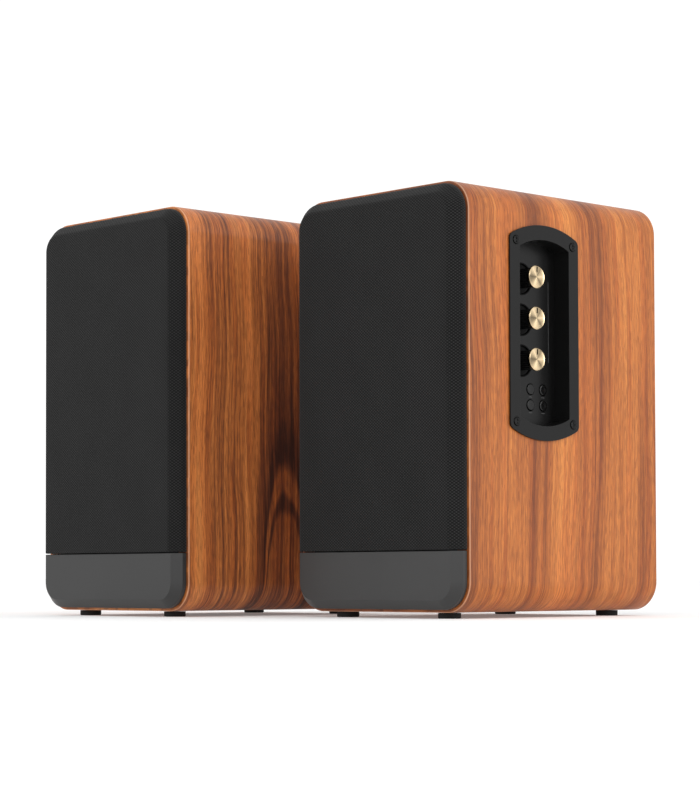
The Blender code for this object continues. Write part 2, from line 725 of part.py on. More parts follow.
def make_surround(prefix, speaker):
    """A half-roll between the cone's edge and the inside of the basket's flange."""
    inner, outer = CONE_RADIUS + GAP, WOOFER_OPENING - BASKET_WALL - GAP
    middle, roll = (inner + outer) / 2, (outer - inner) / 2
    over = arc((middle, 0), roll, 180, 0, ROLL_STEPS)
    under = arc((middle, 0), roll - SURROUND_THICKNESS, 0, 180, ROLL_STEPS)
    profile = [(radius, FLANGE_BACK - rise) for radius, rise in over + under]
    surround = turned("surround", profile, closed=True)
    moved(surround, z=WOOFER_HEIGHT)
    finish_part(surround, prefix + "woofer_surround", "rubber", speaker, (0, 0, WOOFER_HEIGHT))


def make_magnet(prefix, speaker):
    """Pole piece, the ring-shaped gap that the voice coil moves in, plates and magnet."""
    front = BASKET_BACK + GAP
    tip = front - POLE_PROUD
    pole = COIL_RADIUS - COIL_WALL - COIL_CLEARANCE
    gap_outer = COIL_RADIUS + COIL_CLEARANCE
    step = MAGNET_RADIUS - MAGNET_STEP
    back = front + MAGNET_THICKNESS
    front_plate, back_plate = front + MAGNET_PLATE, back - MAGNET_PLATE
    profile = [(0, tip), (pole, tip), (pole, back_plate), (gap_outer, back_plate)]
    profile += [(gap_outer, front), (step, front), (step, front_plate), (MAGNET_RADIUS, front_plate)]
    profile += [(MAGNET_RADIUS, back_plate), (step, back_plate), (step, back), (0, back)]
    magnet = turned("magnet", profile)
    moved(magnet, z=WOOFER_HEIGHT)
    finish_part(magnet, prefix + "woofer_magnet", "ferrite", speaker, (0, 0, WOOFER_HEIGHT))


def make_tweeter(prefix, speaker):
    seat = DOME_RADIUS + GAP
    floor = FLANGE_BACK + TWEETER_WELL
    profile = [(0, floor), (seat, floor), (seat, FLANGE_BACK), (seat + HORN_THROAT, FLANGE_FRONT + HORN_STEP)]
    profile += [(seat + HORN_MOUTH, FLANGE_FRONT), (TWEETER_RADIUS, FLANGE_FRONT)]
    profile += [(TWEETER_RADIUS, FLANGE_BACK), (TWEETER_BODY_RADIUS, FLANGE_BACK)]
    profile += [(TWEETER_BODY_RADIUS, TWEETER_DEPTH), (0, TWEETER_DEPTH)]
    body = turned("tweeter", profile)
    moved(body, z=TWEETER_HEIGHT)
    finish_part(body, prefix + "tweeter_body", "black_plastic", speaker, (0, 0, TWEETER_HEIGHT))

    base = floor - GAP
    inner_radius, inner_rise = DOME_RADIUS - DOME_THICKNESS, DOME_RISE - DOME_THICKNESS
    outer = []
    inner = []
    for step in range(DOME_STEPS + 1):
        angle = math.pi / 2 * step / DOME_STEPS
        outer.append((DOME_RADIUS * math.sin(angle), base - DOME_RISE * math.cos(angle)))
        inner.append((inner_radius * math.sin(angle), base - inner_rise * math.cos(angle)))
    dome = turned("dome", outer + list(reversed(inner)))
    moved(dome, z=TWEETER_HEIGHT)
    finish_part(dome, prefix + "tweeter_dome", "silk_dome", speaker, (0, 0, TWEETER_HEIGHT))


# --- port and rear fittings ----------------------------------------------------------------------


def make_port(prefix, speaker):
    """A straight tube with a flared mouth and a flange on the rear board."""
    seat = REAR_FACE + GAP
    start = seat - PORT_LENGTH
    outer = PORT_RADIUS + PORT_WALL
    face = seat + PORT_FLANGE_THICKNESS
    flare = PORT_FLANGE - PORT_RADIUS - PORT_FLANGE_FLAT
    profile = [(PORT_RADIUS, start), (outer, start), (outer, seat), (PORT_FLANGE, seat)]
    profile += [(PORT_FLANGE, face - PORT_FLANGE_EDGE), (PORT_FLANGE - PORT_FLANGE_EDGE, face)]
    profile += arc((PORT_RADIUS + flare, face - flare), flare, 90, 180, ROLL_STEPS)
    tube = turned("port", profile, closed=True)
    moved(tube, z=PORT_HEIGHT)
    finish_part(tube, prefix + "port_tube", "black_plastic", speaker, (0, 0, PORT_HEIGHT))


def socket_barrel(x, z, root):
    """A phono socket's barrel with its bore, standing on a block at `root`."""
    tip = root + SOCKET_LENGTH
    outline = [circle((x, z), SOCKET_RADIUS, SMALL_ROUND), circle((x, z), SOCKET_BORE, TINY_ROUND)]
    return prism("barrel", outline, root - SOCKET_ROOT, tip, AXIS_Y)


def make_sockets(name, speaker, x, z, columns, rear):
    """A block let into the rear with phono sockets side by side, their barrels pointing back."""
    width = SOCKET_BLOCK + (columns - 1) * SOCKET_PITCH
    face = rear + FITTING_PROUD
    outline = square_box(x - width / 2, x + width / 2, z - SOCKET_BLOCK / 2, z + SOCKET_BLOCK / 2)
    block = prism("block", [outline], face - SOCKET_BACK, face, AXIS_Y)
    barrels = []
    for column in range(columns):
        place = x + (column - (columns - 1) / 2) * SOCKET_PITCH
        barrels.append(socket_barrel(place, z, face))
    join(block, *barrels)
    finish_part(block, name, "black_plastic", speaker)


def plate_holes():
    half = SOCKET_BLOCK / 2 + GAP
    wide = half + SOCKET_PITCH
    holes = [square_box(INPUT_X - wide, INPUT_X + wide, SOCKET_Z - half, SOCKET_Z + half)]
    holes.append(square_box(LINK_X - half, LINK_X + half, SOCKET_Z - half, SOCKET_Z + half))
    fittings = [(INLET_X, INLET_Z, INLET_WIDTH, INLET_HEIGHT)]
    fittings.append((SWITCH_X, SWITCH_Z, SWITCH_WIDTH, SWITCH_HEIGHT))
    for x, z, width, height in fittings:
        reach, rise = width / 2 + GAP, height / 2 + GAP
        holes.append(square_box(x - reach, x + reach, z - rise, z + rise))
    return holes


def make_amp_plate(prefix, speaker):
    half, rise = PLATE_WIDTH / 2, PLATE_HEIGHT / 2
    outline = rounded_box(-half, half, PLATE_Z - rise, PLATE_Z + rise, PLATE_CORNER, ROLL_STEPS)
    plate = prism("plate", [outline] + plate_holes(), PLATE_FRONT, PLATE_BACK, AXIS_Y)
    finish_part(plate, prefix + "amp_plate", "aluminium_plate", speaker)


def make_power_inlet(prefix, speaker):
    """A mains inlet: a block with a two-pin socket sunk into it."""
    face = PLATE_BACK + FITTING_PROUD
    half, rise = INLET_WIDTH / 2, INLET_HEIGHT / 2
    outline = square_box(INLET_X - half, INLET_X + half, INLET_Z - rise, INLET_Z + rise)
    block = prism("inlet", [outline], face - INLET_DEPTH, face, AXIS_Y)
    left, right = INLET_X - INLET_WELL_HALF, INLET_X + INLET_WELL_HALF
    bottom, top = INLET_Z - INLET_WELL_RADIUS, INLET_Z + INLET_WELL_RADIUS
    well = rounded_box(left, right, bottom, top, INLET_WELL_CORNER, ROLL_STEPS)
    well_floor = face - INLET_WELL_DEPTH
    cut(block, prism("well", [well], well_floor, face + FITTING_PROUD, AXIS_Y))
    pins = []
    for side in (-1, 1):
        pin = circle((INLET_X + side * INLET_PIN_PITCH / 2, INLET_Z), INLET_PIN_RADIUS, TINY_ROUND)
        pins.append(prism("pin", [pin], well_floor - SOCKET_ROOT, face - INLET_PIN_SHORT, AXIS_Y))
    join(block, *pins)
    finish_part(block, prefix + "power_inlet", "black_plastic", speaker)


def make_power_switch(prefix, speaker):
    """A rocker in a housing let into the amplifier plate."""
    face = PLATE_BACK + FITTING_PROUD
    half, rise = SWITCH_WIDTH / 2, SWITCH_HEIGHT / 2
    outline = square_box(SWITCH_X - half, SWITCH_X + half, SWITCH_Z - rise, SWITCH_Z + rise)
    housing = prism("housing", [outline], face - SWITCH_DEPTH, face, AXIS_Y)
    side = ROCKER_WIDTH / 2 + LOOSE
    well = square_box(SWITCH_X - side, SWITCH_X + side, SWITCH_Z - SWITCH_WELL_REACH,
                      SWITCH_Z + SWITCH_WELL_REACH)
    cut(housing, prism("well", [well], face - SWITCH_WELL_DEPTH, face + FITTING_PROUD, AXIS_Y))
    finish_part(housing, prefix + "switch_housing", "black_plastic", speaker)

    high, low = ROCKER_PIVOT + ROCKER_END_RISE, ROCKER_PIVOT + ROCKER_DIP_RISE
    heel, drawn = high - ROCKER_END_THICKNESS, ROCKER_HALF - ROCKER_END_DRAFT
    outline = [(high, -ROCKER_HALF), (low, 0), (high, ROCKER_HALF), (heel, drawn)]
    outline += [(-ROCKER_KEEL, ROCKER_KEEL), (-ROCKER_KEEL, -ROCKER_KEEL), (heel, -drawn)]
    rocker = prism("rocker", [outline], -ROCKER_WIDTH / 2, ROCKER_WIDTH / 2, AXIS_X)
    rocker.data.transform(Matrix.Rotation(-ROCKER_TILT, 4, "X"))
    pivot = (SWITCH_X, face - ROCKER_PIVOT, SWITCH_Z)
    moved(rocker, *pivot)
    finish_part(rocker, prefix + "switch_rocker", "gloss_black", speaker, pivot)


# --- electronics ---------------------------------------------------------------------------------


def make_amp_board(prefix, speaker):
    """The amplifier's circuit board with its heat sink and reservoir capacitors."""
    half, rise = AMP_BOARD_WIDTH / 2, AMP_BOARD_HEIGHT / 2
    outline = square_box(-half, half, PLATE_Z - rise, PLATE_Z + rise)
    board = prism("board", [outline], AMP_BOARD_Y, AMP_BOARD_Y + BOARD_THICKNESS, AXIS_Y)
    front = AMP_BOARD_Y + BOARD_THICKNESS / 2
    side, high = half - HEAT_SINK_MARGIN, PLATE_Z + rise - HEAT_SINK_MARGIN
    sink = square_box(-side, side, high - HEAT_SINK_HEIGHT, high)
    parts = [prism("heat_sink", [sink], front - HEAT_SINK_DEPTH, front, AXIS_Y)]
    for sign in (-1, 1):
        can = circle((sign * CAPACITOR_X, PLATE_Z - CAPACITOR_DROP), CAPACITOR_RADIUS, SMALL_ROUND)
        parts.append(prism("capacitor", [can], front - CAPACITOR_LENGTH, front, AXIS_Y))
    join(board, *parts)
    finish_part(board, prefix + "amp_board", "circuit_board", speaker)


def make_transformer(prefix, speaker):
    """Laminated core with its winding, standing on the cabinet's floor behind the woofer."""
    half = TRANSFORMER_SIZE / 2
    floor = CABINET_WALL + GAP
    outline = square_box(-half, half, floor, floor + TRANSFORMER_HEIGHT)
    depth = TRANSFORMER_SIZE / 4
    core = prism("core", [outline], TRANSFORMER_Y - depth, TRANSFORMER_Y + depth, AXIS_Y)
    middle, side, rise = floor + TRANSFORMER_HEIGHT / 2, WINDING_WIDTH / 2, WINDING_HEIGHT / 2
    winding = rounded_box(-side, side, middle - rise, middle + rise, WINDING_CORNER, ROLL_STEPS)
    reach = WINDING_DEPTH / 2
    join(core, prism("winding", [winding], TRANSFORMER_Y - reach, TRANSFORMER_Y + reach, AXIS_Y))
    finish_part(core, prefix + "transformer", "transformer_steel", speaker)


def make_crossover(prefix, speaker):
    """A small board on the floor with a coil and a capacitor."""
    half, reach = CROSSOVER_WIDTH / 2, CROSSOVER_DEPTH / 2
    floor = CABINET_WALL + GAP
    outline = square_box(-half, half, CROSSOVER_Y - reach, CROSSOVER_Y + reach)
    board = prism("board", [outline], floor, floor + BOARD_THICKNESS, AXIS_Z)
    seat = floor + BOARD_THICKNESS / 2
    profile = [(COIL_FORM_INNER, -COIL_FORM_HEIGHT), (COIL_FORM_OUTER, -COIL_FORM_HEIGHT)]
    profile += [(COIL_FORM_OUTER, 0), (COIL_FORM_INNER, 0)]
    coil = turned("coil", profile, closed=True, facing=AXIS_Z)
    moved(coil, COIL_FORM_X, CROSSOVER_Y, seat)
    can = circle((FILTER_CAN_X, CROSSOVER_Y), FILTER_CAN_RADIUS, SMALL_ROUND)
    join(board, coil, prism("can", [can], seat, seat + FILTER_CAN_HEIGHT, AXIS_Z))
    finish_part(board, prefix + "crossover", "circuit_board", speaker)


# --- control panel -------------------------------------------------------------------------------


def knob_places():
    names = ("volume", "treble", "bass")
    return [(name, KNOB_TOP_Z - index * KNOB_PITCH) for index, name in enumerate(names)]


def button_places():
    places = []
    names = iter(("power", "source", "previous", "next"))
    for z_side in (1, -1):
        for y_side in (-1, 1):
            y = BUTTON_Y + y_side * BUTTON_PITCH_Y / 2
            z = BUTTON_Z + z_side * BUTTON_PITCH_Z / 2
            places.append((next(names), y, z))
    return places


def make_bezel(prefix, speaker):
    """A plate on the cabinet's side with a deep tray behind its opening."""
    centre = (BEZEL_Y, BEZEL_Z)
    rim = arched_box(centre, BEZEL_WIDTH, BEZEL_HEIGHT, BEZEL_ARCH, BEZEL_CORNER)
    bezel = prism("plate", [rim], BEZEL_BACK_X, BEZEL_FACE_X, AXIS_X)
    tray_front = BEZEL_FACE_X - BEZEL_THICKNESS / 2
    join(bezel, prism("tray", [recess_outline(RECESS_WALL)], RECESS_BACK_X, tray_front, AXIS_X))
    beyond = BEZEL_FACE_X + CABINET_WALL
    cutters = [prism("recess", [recess_outline(0)], RECESS_FLOOR_X, beyond, AXIS_X)]
    for _, z in knob_places():
        shaft = circle((KNOB_Y, z), SHAFT_RADIUS + LOOSE, TINY_ROUND)
        cutters.append(prism("dish", [circle((KNOB_Y, z), DISH_RADIUS)], DISH_X, beyond, AXIS_X))
        cutters.append(prism("shaft_hole", [shaft], 0, beyond, AXIS_X))
    for _, y, z in button_places():
        button = circle((y, z), BUTTON_RADIUS + LOOSE, SMALL_ROUND)
        cutters.append(prism("button_hole", [button], 0, beyond, AXIS_X))
    seat = BEZEL_FACE_X - SCREW_HEAD_HEIGHT + GAP
    for place in screw_places():
        shank = circle(place, SCREW_RADIUS + GAP, TINY_ROUND)
        head = circle(place, SCREW_HEAD_RADIUS + GAP, SMALL_ROUND)
        cutters.append(prism("screw_hole", [shank], 0, beyond, AXIS_X))
        cutters.append(prism("screw_seat", [head], seat, beyond, AXIS_X))
    cut(bezel, *cutters)
    finish_part(bezel, prefix + "control_bezel", "black_plastic", speaker)


def make_bezel_screws(prefix, speaker):
    names = ("top_front", "top_rear", "bottom_front", "bottom_rear")
    top = BEZEL_FACE_X + GAP
    seat = BEZEL_FACE_X - SCREW_HEAD_HEIGHT + 2 * GAP
    end = HALF_WIDTH - SCREW_LENGTH
    floor = top - SCREW_SLOT_DEPTH
    for name, (y, z) in zip(names, screw_places()):
        screw = prism("head", [circle((y, z), SCREW_HEAD_RADIUS, SMALL_ROUND)], seat, top, AXIS_X)
        join(screw, prism("shank", [circle((y, z), SCREW_RADIUS, TINY_ROUND)], end, seat + GAP, AXIS_X))
        long, thin = SCREW_SLOT_REACH, SCREW_SLOT / 2
        across = prism("slot", [square_box(y - long, y + long, z - thin, z + thin)], floor, top + GAP, AXIS_X)
        along = prism("slot", [square_box(y - thin, y + thin, z - long, z + long)], floor, top + GAP, AXIS_X)
        cut(screw, across, along)
        finish_part(screw, f"{prefix}bezel_screw_{name}", "black_steel", speaker, (HALF_WIDTH, y, z))


def make_knobs(prefix, speaker):
    """Fluted black knobs on their shafts, each with a spun brass cap."""
    cap_face = HALF_WIDTH + CAP_PROUD
    cap_back = cap_face - CAP_THICKNESS
    half = CAP_MARK_WIDTH / 2
    for name, z in knob_places():
        origin = (HALF_WIDTH, KNOB_Y, z)
        outline = fluted((KNOB_Y, z), KNOB_RADIUS, KNOB_FLUTE_DEPTH, KNOB_FLUTES)
        knob = prism("knob", [outline], DISH_X + GAP, cap_back - GAP, AXIS_X)
        shaft = circle((KNOB_Y, z), SHAFT_RADIUS, TINY_ROUND)
        join(knob, prism("shaft", [shaft], SHAFT_END_X, DISH_X + 2 * GAP, AXIS_X))
        finish_part(knob, f"{prefix}{name}_knob", "black_plastic", speaker, origin)

        profile = [(0, CAP_HOLLOW), (CAP_RADIUS - CAP_EDGE, 0), (CAP_RADIUS, CAP_EDGE)]
        profile += [(CAP_RADIUS, CAP_THICKNESS), (0, CAP_THICKNESS)]
        cap = turned("cap", profile, facing=Matrix.Rotation(math.pi / 2, 4, "Y"))
        moved(cap, cap_face, KNOB_Y, z)
        top = z + CAP_RADIUS - CAP_MARK_INSET
        mark = square_box(KNOB_Y - half, KNOB_Y + half, top - CAP_MARK_LENGTH, top)
        floor = cap_face - CAP_HOLLOW - CAP_MARK_DEPTH
        cut(cap, prism("mark", [mark], floor, cap_face + CAP_PROUD, AXIS_X))
        finish_part(cap, f"{prefix}{name}_knob_cap", "spun_brass", speaker, origin)


def make_buttons(prefix, speaker):
    """Round push buttons, each held by a flange behind the tray's floor."""
    flange_face = BUTTON_BACK_X + BUTTON_FLANGE
    for name, y, z in button_places():
        stem = circle((y, z), BUTTON_RADIUS, SMALL_ROUND)
        flange = circle((y, z), BUTTON_RADIUS + BUTTON_FLANGE, SMALL_ROUND)
        button = prism("button", [stem], BUTTON_BACK_X, BUTTON_FACE_X, AXIS_X)
        join(button, prism("flange", [flange], BUTTON_BACK_X, flange_face, AXIS_X))
        finish_part(button, f"{prefix}{name}_button", "gloss_black", speaker, (BUTTON_FACE_X, y, z))


def make_control_board(prefix, speaker):
    """The board behind the tray, with a potentiometer behind each knob and a switch behind each button."""
    half, rise = RECESS_WIDTH / 2 - BOARD_MARGIN, RECESS_HEIGHT / 2 - RECESS_ARCH
    outline = square_box(BEZEL_Y - half, BEZEL_Y + half, BEZEL_Z - rise, BEZEL_Z + rise)
    board = prism("board", [outline], BOARD_FACE_X - BOARD_THICKNESS, BOARD_FACE_X, AXIS_X)
    root = BOARD_FACE_X - BOARD_THICKNESS / 2
    parts = []
    for _, z in knob_places():
        parts.append(prism("pot", [circle((KNOB_Y, z), POT_RADIUS, SMALL_ROUND)], root, POT_FACE_X, AXIS_X))
    switch_face = BUTTON_BACK_X - BUTTON_TRAVEL - GAP
    side = BUTTON_RADIUS
    for _, y, z in button_places():
        switch = square_box(y - side, y + side, z - side, z + side)
        parts.append(prism("switch", [switch], root, switch_face, AXIS_X))
    join(board, *parts)
    finish_part(board, prefix + "control_board", "circuit_board", speaker)


# --- the pair ------------------------------------------------------------------------------------


def make_speaker(prefix, x, y, active):
    speaker = bpy.data.objects.new(prefix + "speaker", None)
    PARTS.objects.link(speaker)
    speaker.location = (x, y, FOOT_HEIGHT)
    make_cabinet(prefix, speaker, active)
    make_baffle(prefix, speaker)
    make_rear_board(prefix, speaker, active)
    make_feet(prefix, speaker)
    make_grille(prefix, speaker)
    make_trim_bar(prefix, speaker)
    make_basket(prefix, speaker)
    make_cone(prefix, speaker)
    make_surround(prefix, speaker)
    make_magnet(prefix, speaker)
    make_tweeter(prefix, speaker)
    make_port(prefix, speaker)
    if active:
        make_bezel(prefix, speaker)
        make_bezel_screws(prefix, speaker)
        make_knobs(prefix, speaker)
        make_buttons(prefix, speaker)
        make_control_board(prefix, speaker)
        make_amp_plate(prefix, speaker)
        make_power_inlet(prefix, speaker)
        make_power_switch(prefix, speaker)
        make_sockets(prefix + "input_sockets", speaker, INPUT_X, SOCKET_Z, 3, PLATE_BACK)
        make_sockets(prefix + "link_socket", speaker, LINK_X, SOCKET_Z, 1, PLATE_BACK)
        make_amp_board(prefix, speaker)
        make_transformer(prefix, speaker)
    else:
        make_sockets(prefix + "link_socket", speaker, 0, SOCKET_Z, 1, REAR_FACE)
        make_crossover(prefix, speaker)


make_speaker("active_", ACTIVE_X, ACTIVE_Y, True)
make_speaker("passive_", ACTIVE_X - PASSIVE_LEFT, ACTIVE_Y - PASSIVE_FORWARD, False)
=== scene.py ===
"""The looks of a pair of walnut-cased desktop speakers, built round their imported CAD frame.

Lengths are in metres. Places inside a speaker are in its own frame, as in the CAD: X across from
the middle, Y back from the wood's front edge, Z up from the cabinet's underside.
"""

import json
import math

import bmesh
import bpy
from mathutils import Matrix, Vector


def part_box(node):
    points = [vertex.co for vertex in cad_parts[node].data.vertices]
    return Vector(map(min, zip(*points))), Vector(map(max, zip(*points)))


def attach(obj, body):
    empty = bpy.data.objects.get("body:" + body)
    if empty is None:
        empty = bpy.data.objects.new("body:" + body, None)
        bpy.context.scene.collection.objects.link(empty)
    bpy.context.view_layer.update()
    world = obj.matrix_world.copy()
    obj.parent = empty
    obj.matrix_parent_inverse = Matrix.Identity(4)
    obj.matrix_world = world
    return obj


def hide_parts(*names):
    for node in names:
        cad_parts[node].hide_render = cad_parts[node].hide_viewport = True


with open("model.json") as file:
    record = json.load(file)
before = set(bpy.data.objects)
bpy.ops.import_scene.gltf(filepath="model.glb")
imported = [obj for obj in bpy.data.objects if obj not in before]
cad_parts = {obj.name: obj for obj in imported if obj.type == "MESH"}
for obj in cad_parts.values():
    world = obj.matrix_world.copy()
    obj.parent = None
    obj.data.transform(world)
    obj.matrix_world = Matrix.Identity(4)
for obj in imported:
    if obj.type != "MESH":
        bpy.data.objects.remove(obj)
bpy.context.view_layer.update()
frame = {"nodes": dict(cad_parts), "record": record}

MM = 0.001
SPEAKERS = ("active_", "passive_")

# Cabinet
HALF_WIDTH = 71 * MM
HEIGHT = 250 * MM
DEPTH = 167 * MM
CORNER = 18 * MM
WALL = 10 * MM
WOOD_EDGE = 0.7 * MM
CORNER_STEPS = 16
SCREW_HOLE_DEPTH = 9.3 * MM
# Where the right side's flat part starts, on the way round from the middle of the underside
SIDE_START = HALF_WIDTH - CORNER + math.pi / 2 * CORNER - CORNER

# Front panel
RIM = 1.7 * MM
PANEL_BACK = 0.3 * MM
PANEL_SIDE = 3.4 * MM
GRILLE_BEVEL = 6.2 * MM
BAR_BEVEL = 5.2 * MM
SEAM = 36 * MM
SEAM_GAP = 0.6 * MM
CLOTH = 0.5 * MM
CLOTH_FOLD = 3.2 * MM
CLOTH_LOWER_FOLD = 0.5 * MM
THREAD_X = 2.4 * MM
THREAD_Z = 1.75 * MM
BAR_FOLD = 0.5 * MM
BAR_FACE_START = 3 * MM
BAR_TOP_EDGE = 0.35 * MM
END_ANGLE = math.radians(70)

# Control panel in the active speaker's right side
BEZEL_Y = 63.4 * MM
BEZEL_Z = 164.3 * MM
BEZEL_WIDTH = 60 * MM
BEZEL_HEIGHT = 127.5 * MM
BEZEL_ARCH = 7.5 * MM
BEZEL_CORNER = 4 * MM
BEZEL_LOW = 0.3 * MM
BEZEL_HIGH = 1.5 * MM
RECESS_WIDTH = 43 * MM
RECESS_HEIGHT = 110 * MM
RECESS_ARCH = 5 * MM
RECESS_CORNER = 1 * MM
RECESS_DEPTH = 10.5 * MM
RECESS_WALL = 2 * MM
RECESS_FLOOR = 3.5 * MM
BEZEL_EDGE = 0.3 * MM
SCREW_SPACING_Y = 49.4 * MM
SCREW_SPACING_Z = 106.4 * MM
SCREW_RADIUS = 2.4 * MM
SCREW_SHANK = 1.3 * MM
SCREW_EDGE = 0.12 * MM
SEAT_PROUD = 0.02 * MM
KNOB_Y = 56 * MM
KNOB_Z = (197 * MM, 172.7 * MM, 148.4 * MM)
DISH_RADIUS = 9.7 * MM
DISH_DEPTH = 1.5 * MM
DISH_THICKNESS = 1 * MM
DISH_FLOOR_INSET = 1.6 * MM
DISH_WALL_INSET = 0.6 * MM
DISH_SOFT = 1.0 * MM
DISH_LIP = 0.06 * MM
SHAFT_RADIUS = 3.35 * MM
CAP_RADIUS = 6.7 * MM
CAP_THICKNESS = 2.2 * MM
CAP_PROUD = 2.2 * MM
CAP_EDGE = 0.45 * MM
CAP_BACK_EDGE = 0.2 * MM
CAP_HOLLOW = 0.35 * MM
CAP_RINGS = (0.92, 0.6, 0.3, 0.05)
MARK_INSET = 0.75 * MM
MARK_DEPTH = 0.75 * MM
MARK_HALF = 0.5 * MM
MARK_LENGTH = 3.2 * MM
BUTTON_Y = (63.4 * MM, 74.4 * MM)
BUTTON_Z = (131.8 * MM, 122.4 * MM)
BUTTON_RADIUS = 3.2 * MM
BUTTON_HOLE = 3.55 * MM
BUTTON_PROUD = 0.7 * MM
BUTTON_SOFT = 0.6 * MM
BUTTON_FLANGE = 1 * MM
BUTTON_RIM_DIP = 0.12 * MM
BUTTON_DIP = 0.18 * MM
CLEAR = 0.3 * MM
PRINT_LINE = 0.28 * MM
PRINT_PROUD = 0.03 * MM
PRINT_BEHIND = 5 * MM
DASH_HALF = 1.4 * MM
DASH_BELOW = 1.5 * MM

# Rear sockets and feet
SOCKET_Z = 118 * MM
SOCKET_LENGTH = 9 * MM
SOCKET_START = {"active_": 168 * MM, "passive_": 166.2 * MM}
SOCKET_X = {"active_": (-33 * MM, -20 * MM, -7 * MM, 28 * MM), "passive_": (0.0,)}
SLEEVE_INNER = 4.1 * MM
SLEEVE_OUTER = 4.5 * MM
SLEEVE_LIP = 0.2 * MM
SLEEVE_GAP = 0.1 * MM
FOOT_SOFT = 0.7 * MM

# Walnut vinyl: colours from pale to dark, and where in the tone each one lies
TONE_STOPS = (0.05, 0.38, 0.66, 0.98)
RIGHT_TONES = ((0.60, 0.212, 0.048), (0.43, 0.130, 0.028), (0.24, 0.065, 0.016), (0.090, 0.024, 0.009))
LEFT_TONES = ((0.62, 0.215, 0.056), (0.40, 0.122, 0.031), (0.18, 0.053, 0.020), (0.040, 0.015, 0.010))
REDDISH = (1.0, 0.72, 0.62, 1)
# The colour of the painted highlight along the wood's front edge
PAINTED_EDGE_HIGHLIGHT = (0.78, 0.44, 0.27, 1)
# The tone at each depth of the cabinet, in mm from the front
RIGHT_LAYOUT = ((0, 0.56), (14, 0.52), (34, 0.38), (55, 0.52), (66, 0.50), (84, 0.18), (100, 0.46),
                (116, 0.54), (134, 0.22), (150, 0.40), (167, 0.36))
LEFT_LAYOUT = ((0, 0.28), (12, 0.26), (20, 0.58), (30, 0.42), (38, 0.66), (42, 0.40), (54, 0.34),
               (60, 0.50), (84, 0.56), (106, 0.50), (114, 0.34), (135, 0.52), (150, 0.28), (167, 0.40))
# The left speaker's pointed arches: middle, half width, tone by height in mm, and where they fade
ARCH_Y = 80 * MM
ARCH_SPREAD = 9.3 * MM
ARCH_TONES = ((0, 0.62), (45, 0.56), (62, 0.60), (67, 0.95), (72, 0.92), (77, 0.56), (88, 0.56),
              (96, 0.96), (103, 1.05), (125, 0.80), (170, 0.66), (230, 0.78))
ARCH_FADE = (170 * MM, 262 * MM)

# Painted highlights and shade on spun metal: its brightness round its face, by degrees from the front
# (-Y) by way of below
SPUN_PAINTED_HIGHLIGHTS = ((0, 0.20), (28, 0.42), (62, 1.0), (95, 0.55), (128, 0.20), (158, 0.62), (184, 1.0),
            (206, 0.62), (238, 0.22), (272, 0.42), (305, 1.0), (334, 0.55), (360, 0.20))

# Camera, and the direction that it looks in
CAMERA_PLACE = (1.10348, -1.03863, 0.02465)
CAMERA_TURN = math.radians(46.65)
CAMERA_PITCH = math.radians(2.0)
CAMERA_ROLL = math.radians(-0.147)
CAMERA_LENS = 107.26
CAMERA_SENSOR = 36
CAMERA_SHIFT = 0.1164

# Stage: the lights are (place, what they point at, size, watts)
FLOOR_REACH = 30
FLOOR_TONES = (0.87, 0.90)
FLOOR_GLOW = 0.15
WORLD_STRENGTH = 0.98
WORLD_SEEN = 1.1
LIGHTS = {
    "key": ((1.5, -1.3, 0.9), (0.1, -0.05, 0.12), (0.5, 0.9), 6),
    "right_softbox": ((1.7, 0.6, 0.7), (0.15, 0.0, 0.14), (0.5, 1.2), 9),
    "front_strip": ((-0.8, -1.8, 0.7), (0.0, -0.1, 0.12), (0.4, 1.2), 5),
}


# --- places ---------------------------------------------------------------------------------------


def speaker_origin(prefix):
    """The middle of the wood's lower front edge, where the speaker's own frame starts."""
    low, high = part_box(prefix + "cabinet")
    return Vector(((low.x + high.x) / 2, low.y, low.z))


ORIGIN = {prefix: speaker_origin(prefix) for prefix in SPEAKERS}


def arc(centre, radius, start, end, steps):
    """Points on a circle's arc, angles in degrees, both ends included."""
    points = []
    for step in range(steps + 1):
        angle = math.radians(start + (end - start) * step / steps)
        points.append((centre[0] + radius * math.cos(angle), centre[1] + radius * math.sin(angle)))
    return points


def circle(centre, radius, steps=48):
    return arc(centre, radius, 0, 360, steps)[:-1]


def arched_box(width, height, arch, corner):
    """Straight sides, ends bowed out by `arch` and rounded corners, round the bezel's middle."""
    half = width / 2
    bow = (half * half + arch * arch) / (2 * arch)
    bow_centre = height / 2 - bow
    corner_z = bow_centre + math.sqrt((bow - corner) ** 2 - (half - corner) ** 2)
    meeting = math.degrees(math.atan2(corner_z - bow_centre, half - corner))
    quarter = arc((half - corner, corner_z), corner, 0, meeting, 8)
    quarter += arc((0, bow_centre), bow, meeting, 90, 16)[1:]
    upper = quarter + [(-y, z) for y, z in reversed(quarter[:-1])]
    return [(BEZEL_Y + y, BEZEL_Z + z) for y, z in upper + [(-y, -z) for y, z in upper]]


def recess_outline(grow):
    width, height = RECESS_WIDTH + 2 * grow, RECESS_HEIGHT + 2 * grow
    return arched_box(width, height, RECESS_ARCH, RECESS_CORNER + grow)


def screw_places():
    half_y, half_z = SCREW_SPACING_Y / 2, SCREW_SPACING_Z / 2
    places = []
    for z_side in (1, -1):
        for y_side in (-1, 1):
            places.append((BEZEL_Y + y_side * half_y, BEZEL_Z + z_side * half_z))
    return places


# --- meshes ---------------------------------------------------------------------------------------


def loft(loops, closed_ring=True, closed_path=False):
    """A mesh through loops of points, each with the same number of points."""
    shape = bmesh.new()
    rows = [[shape.verts.new(point) for point in loop] for loop in loops]
    count = len(loops[0])
    spans = count if closed_ring else count - 1
    paths = len(rows) if closed_path else len(rows) - 1
    for row in range(paths):
        near, far = rows[row], rows[(row + 1) % len(rows)]
        for index in range(spans):
            after = (index + 1) % count
            shape.faces.new((near[index], near[after], far[after], far[index]))
    return shape


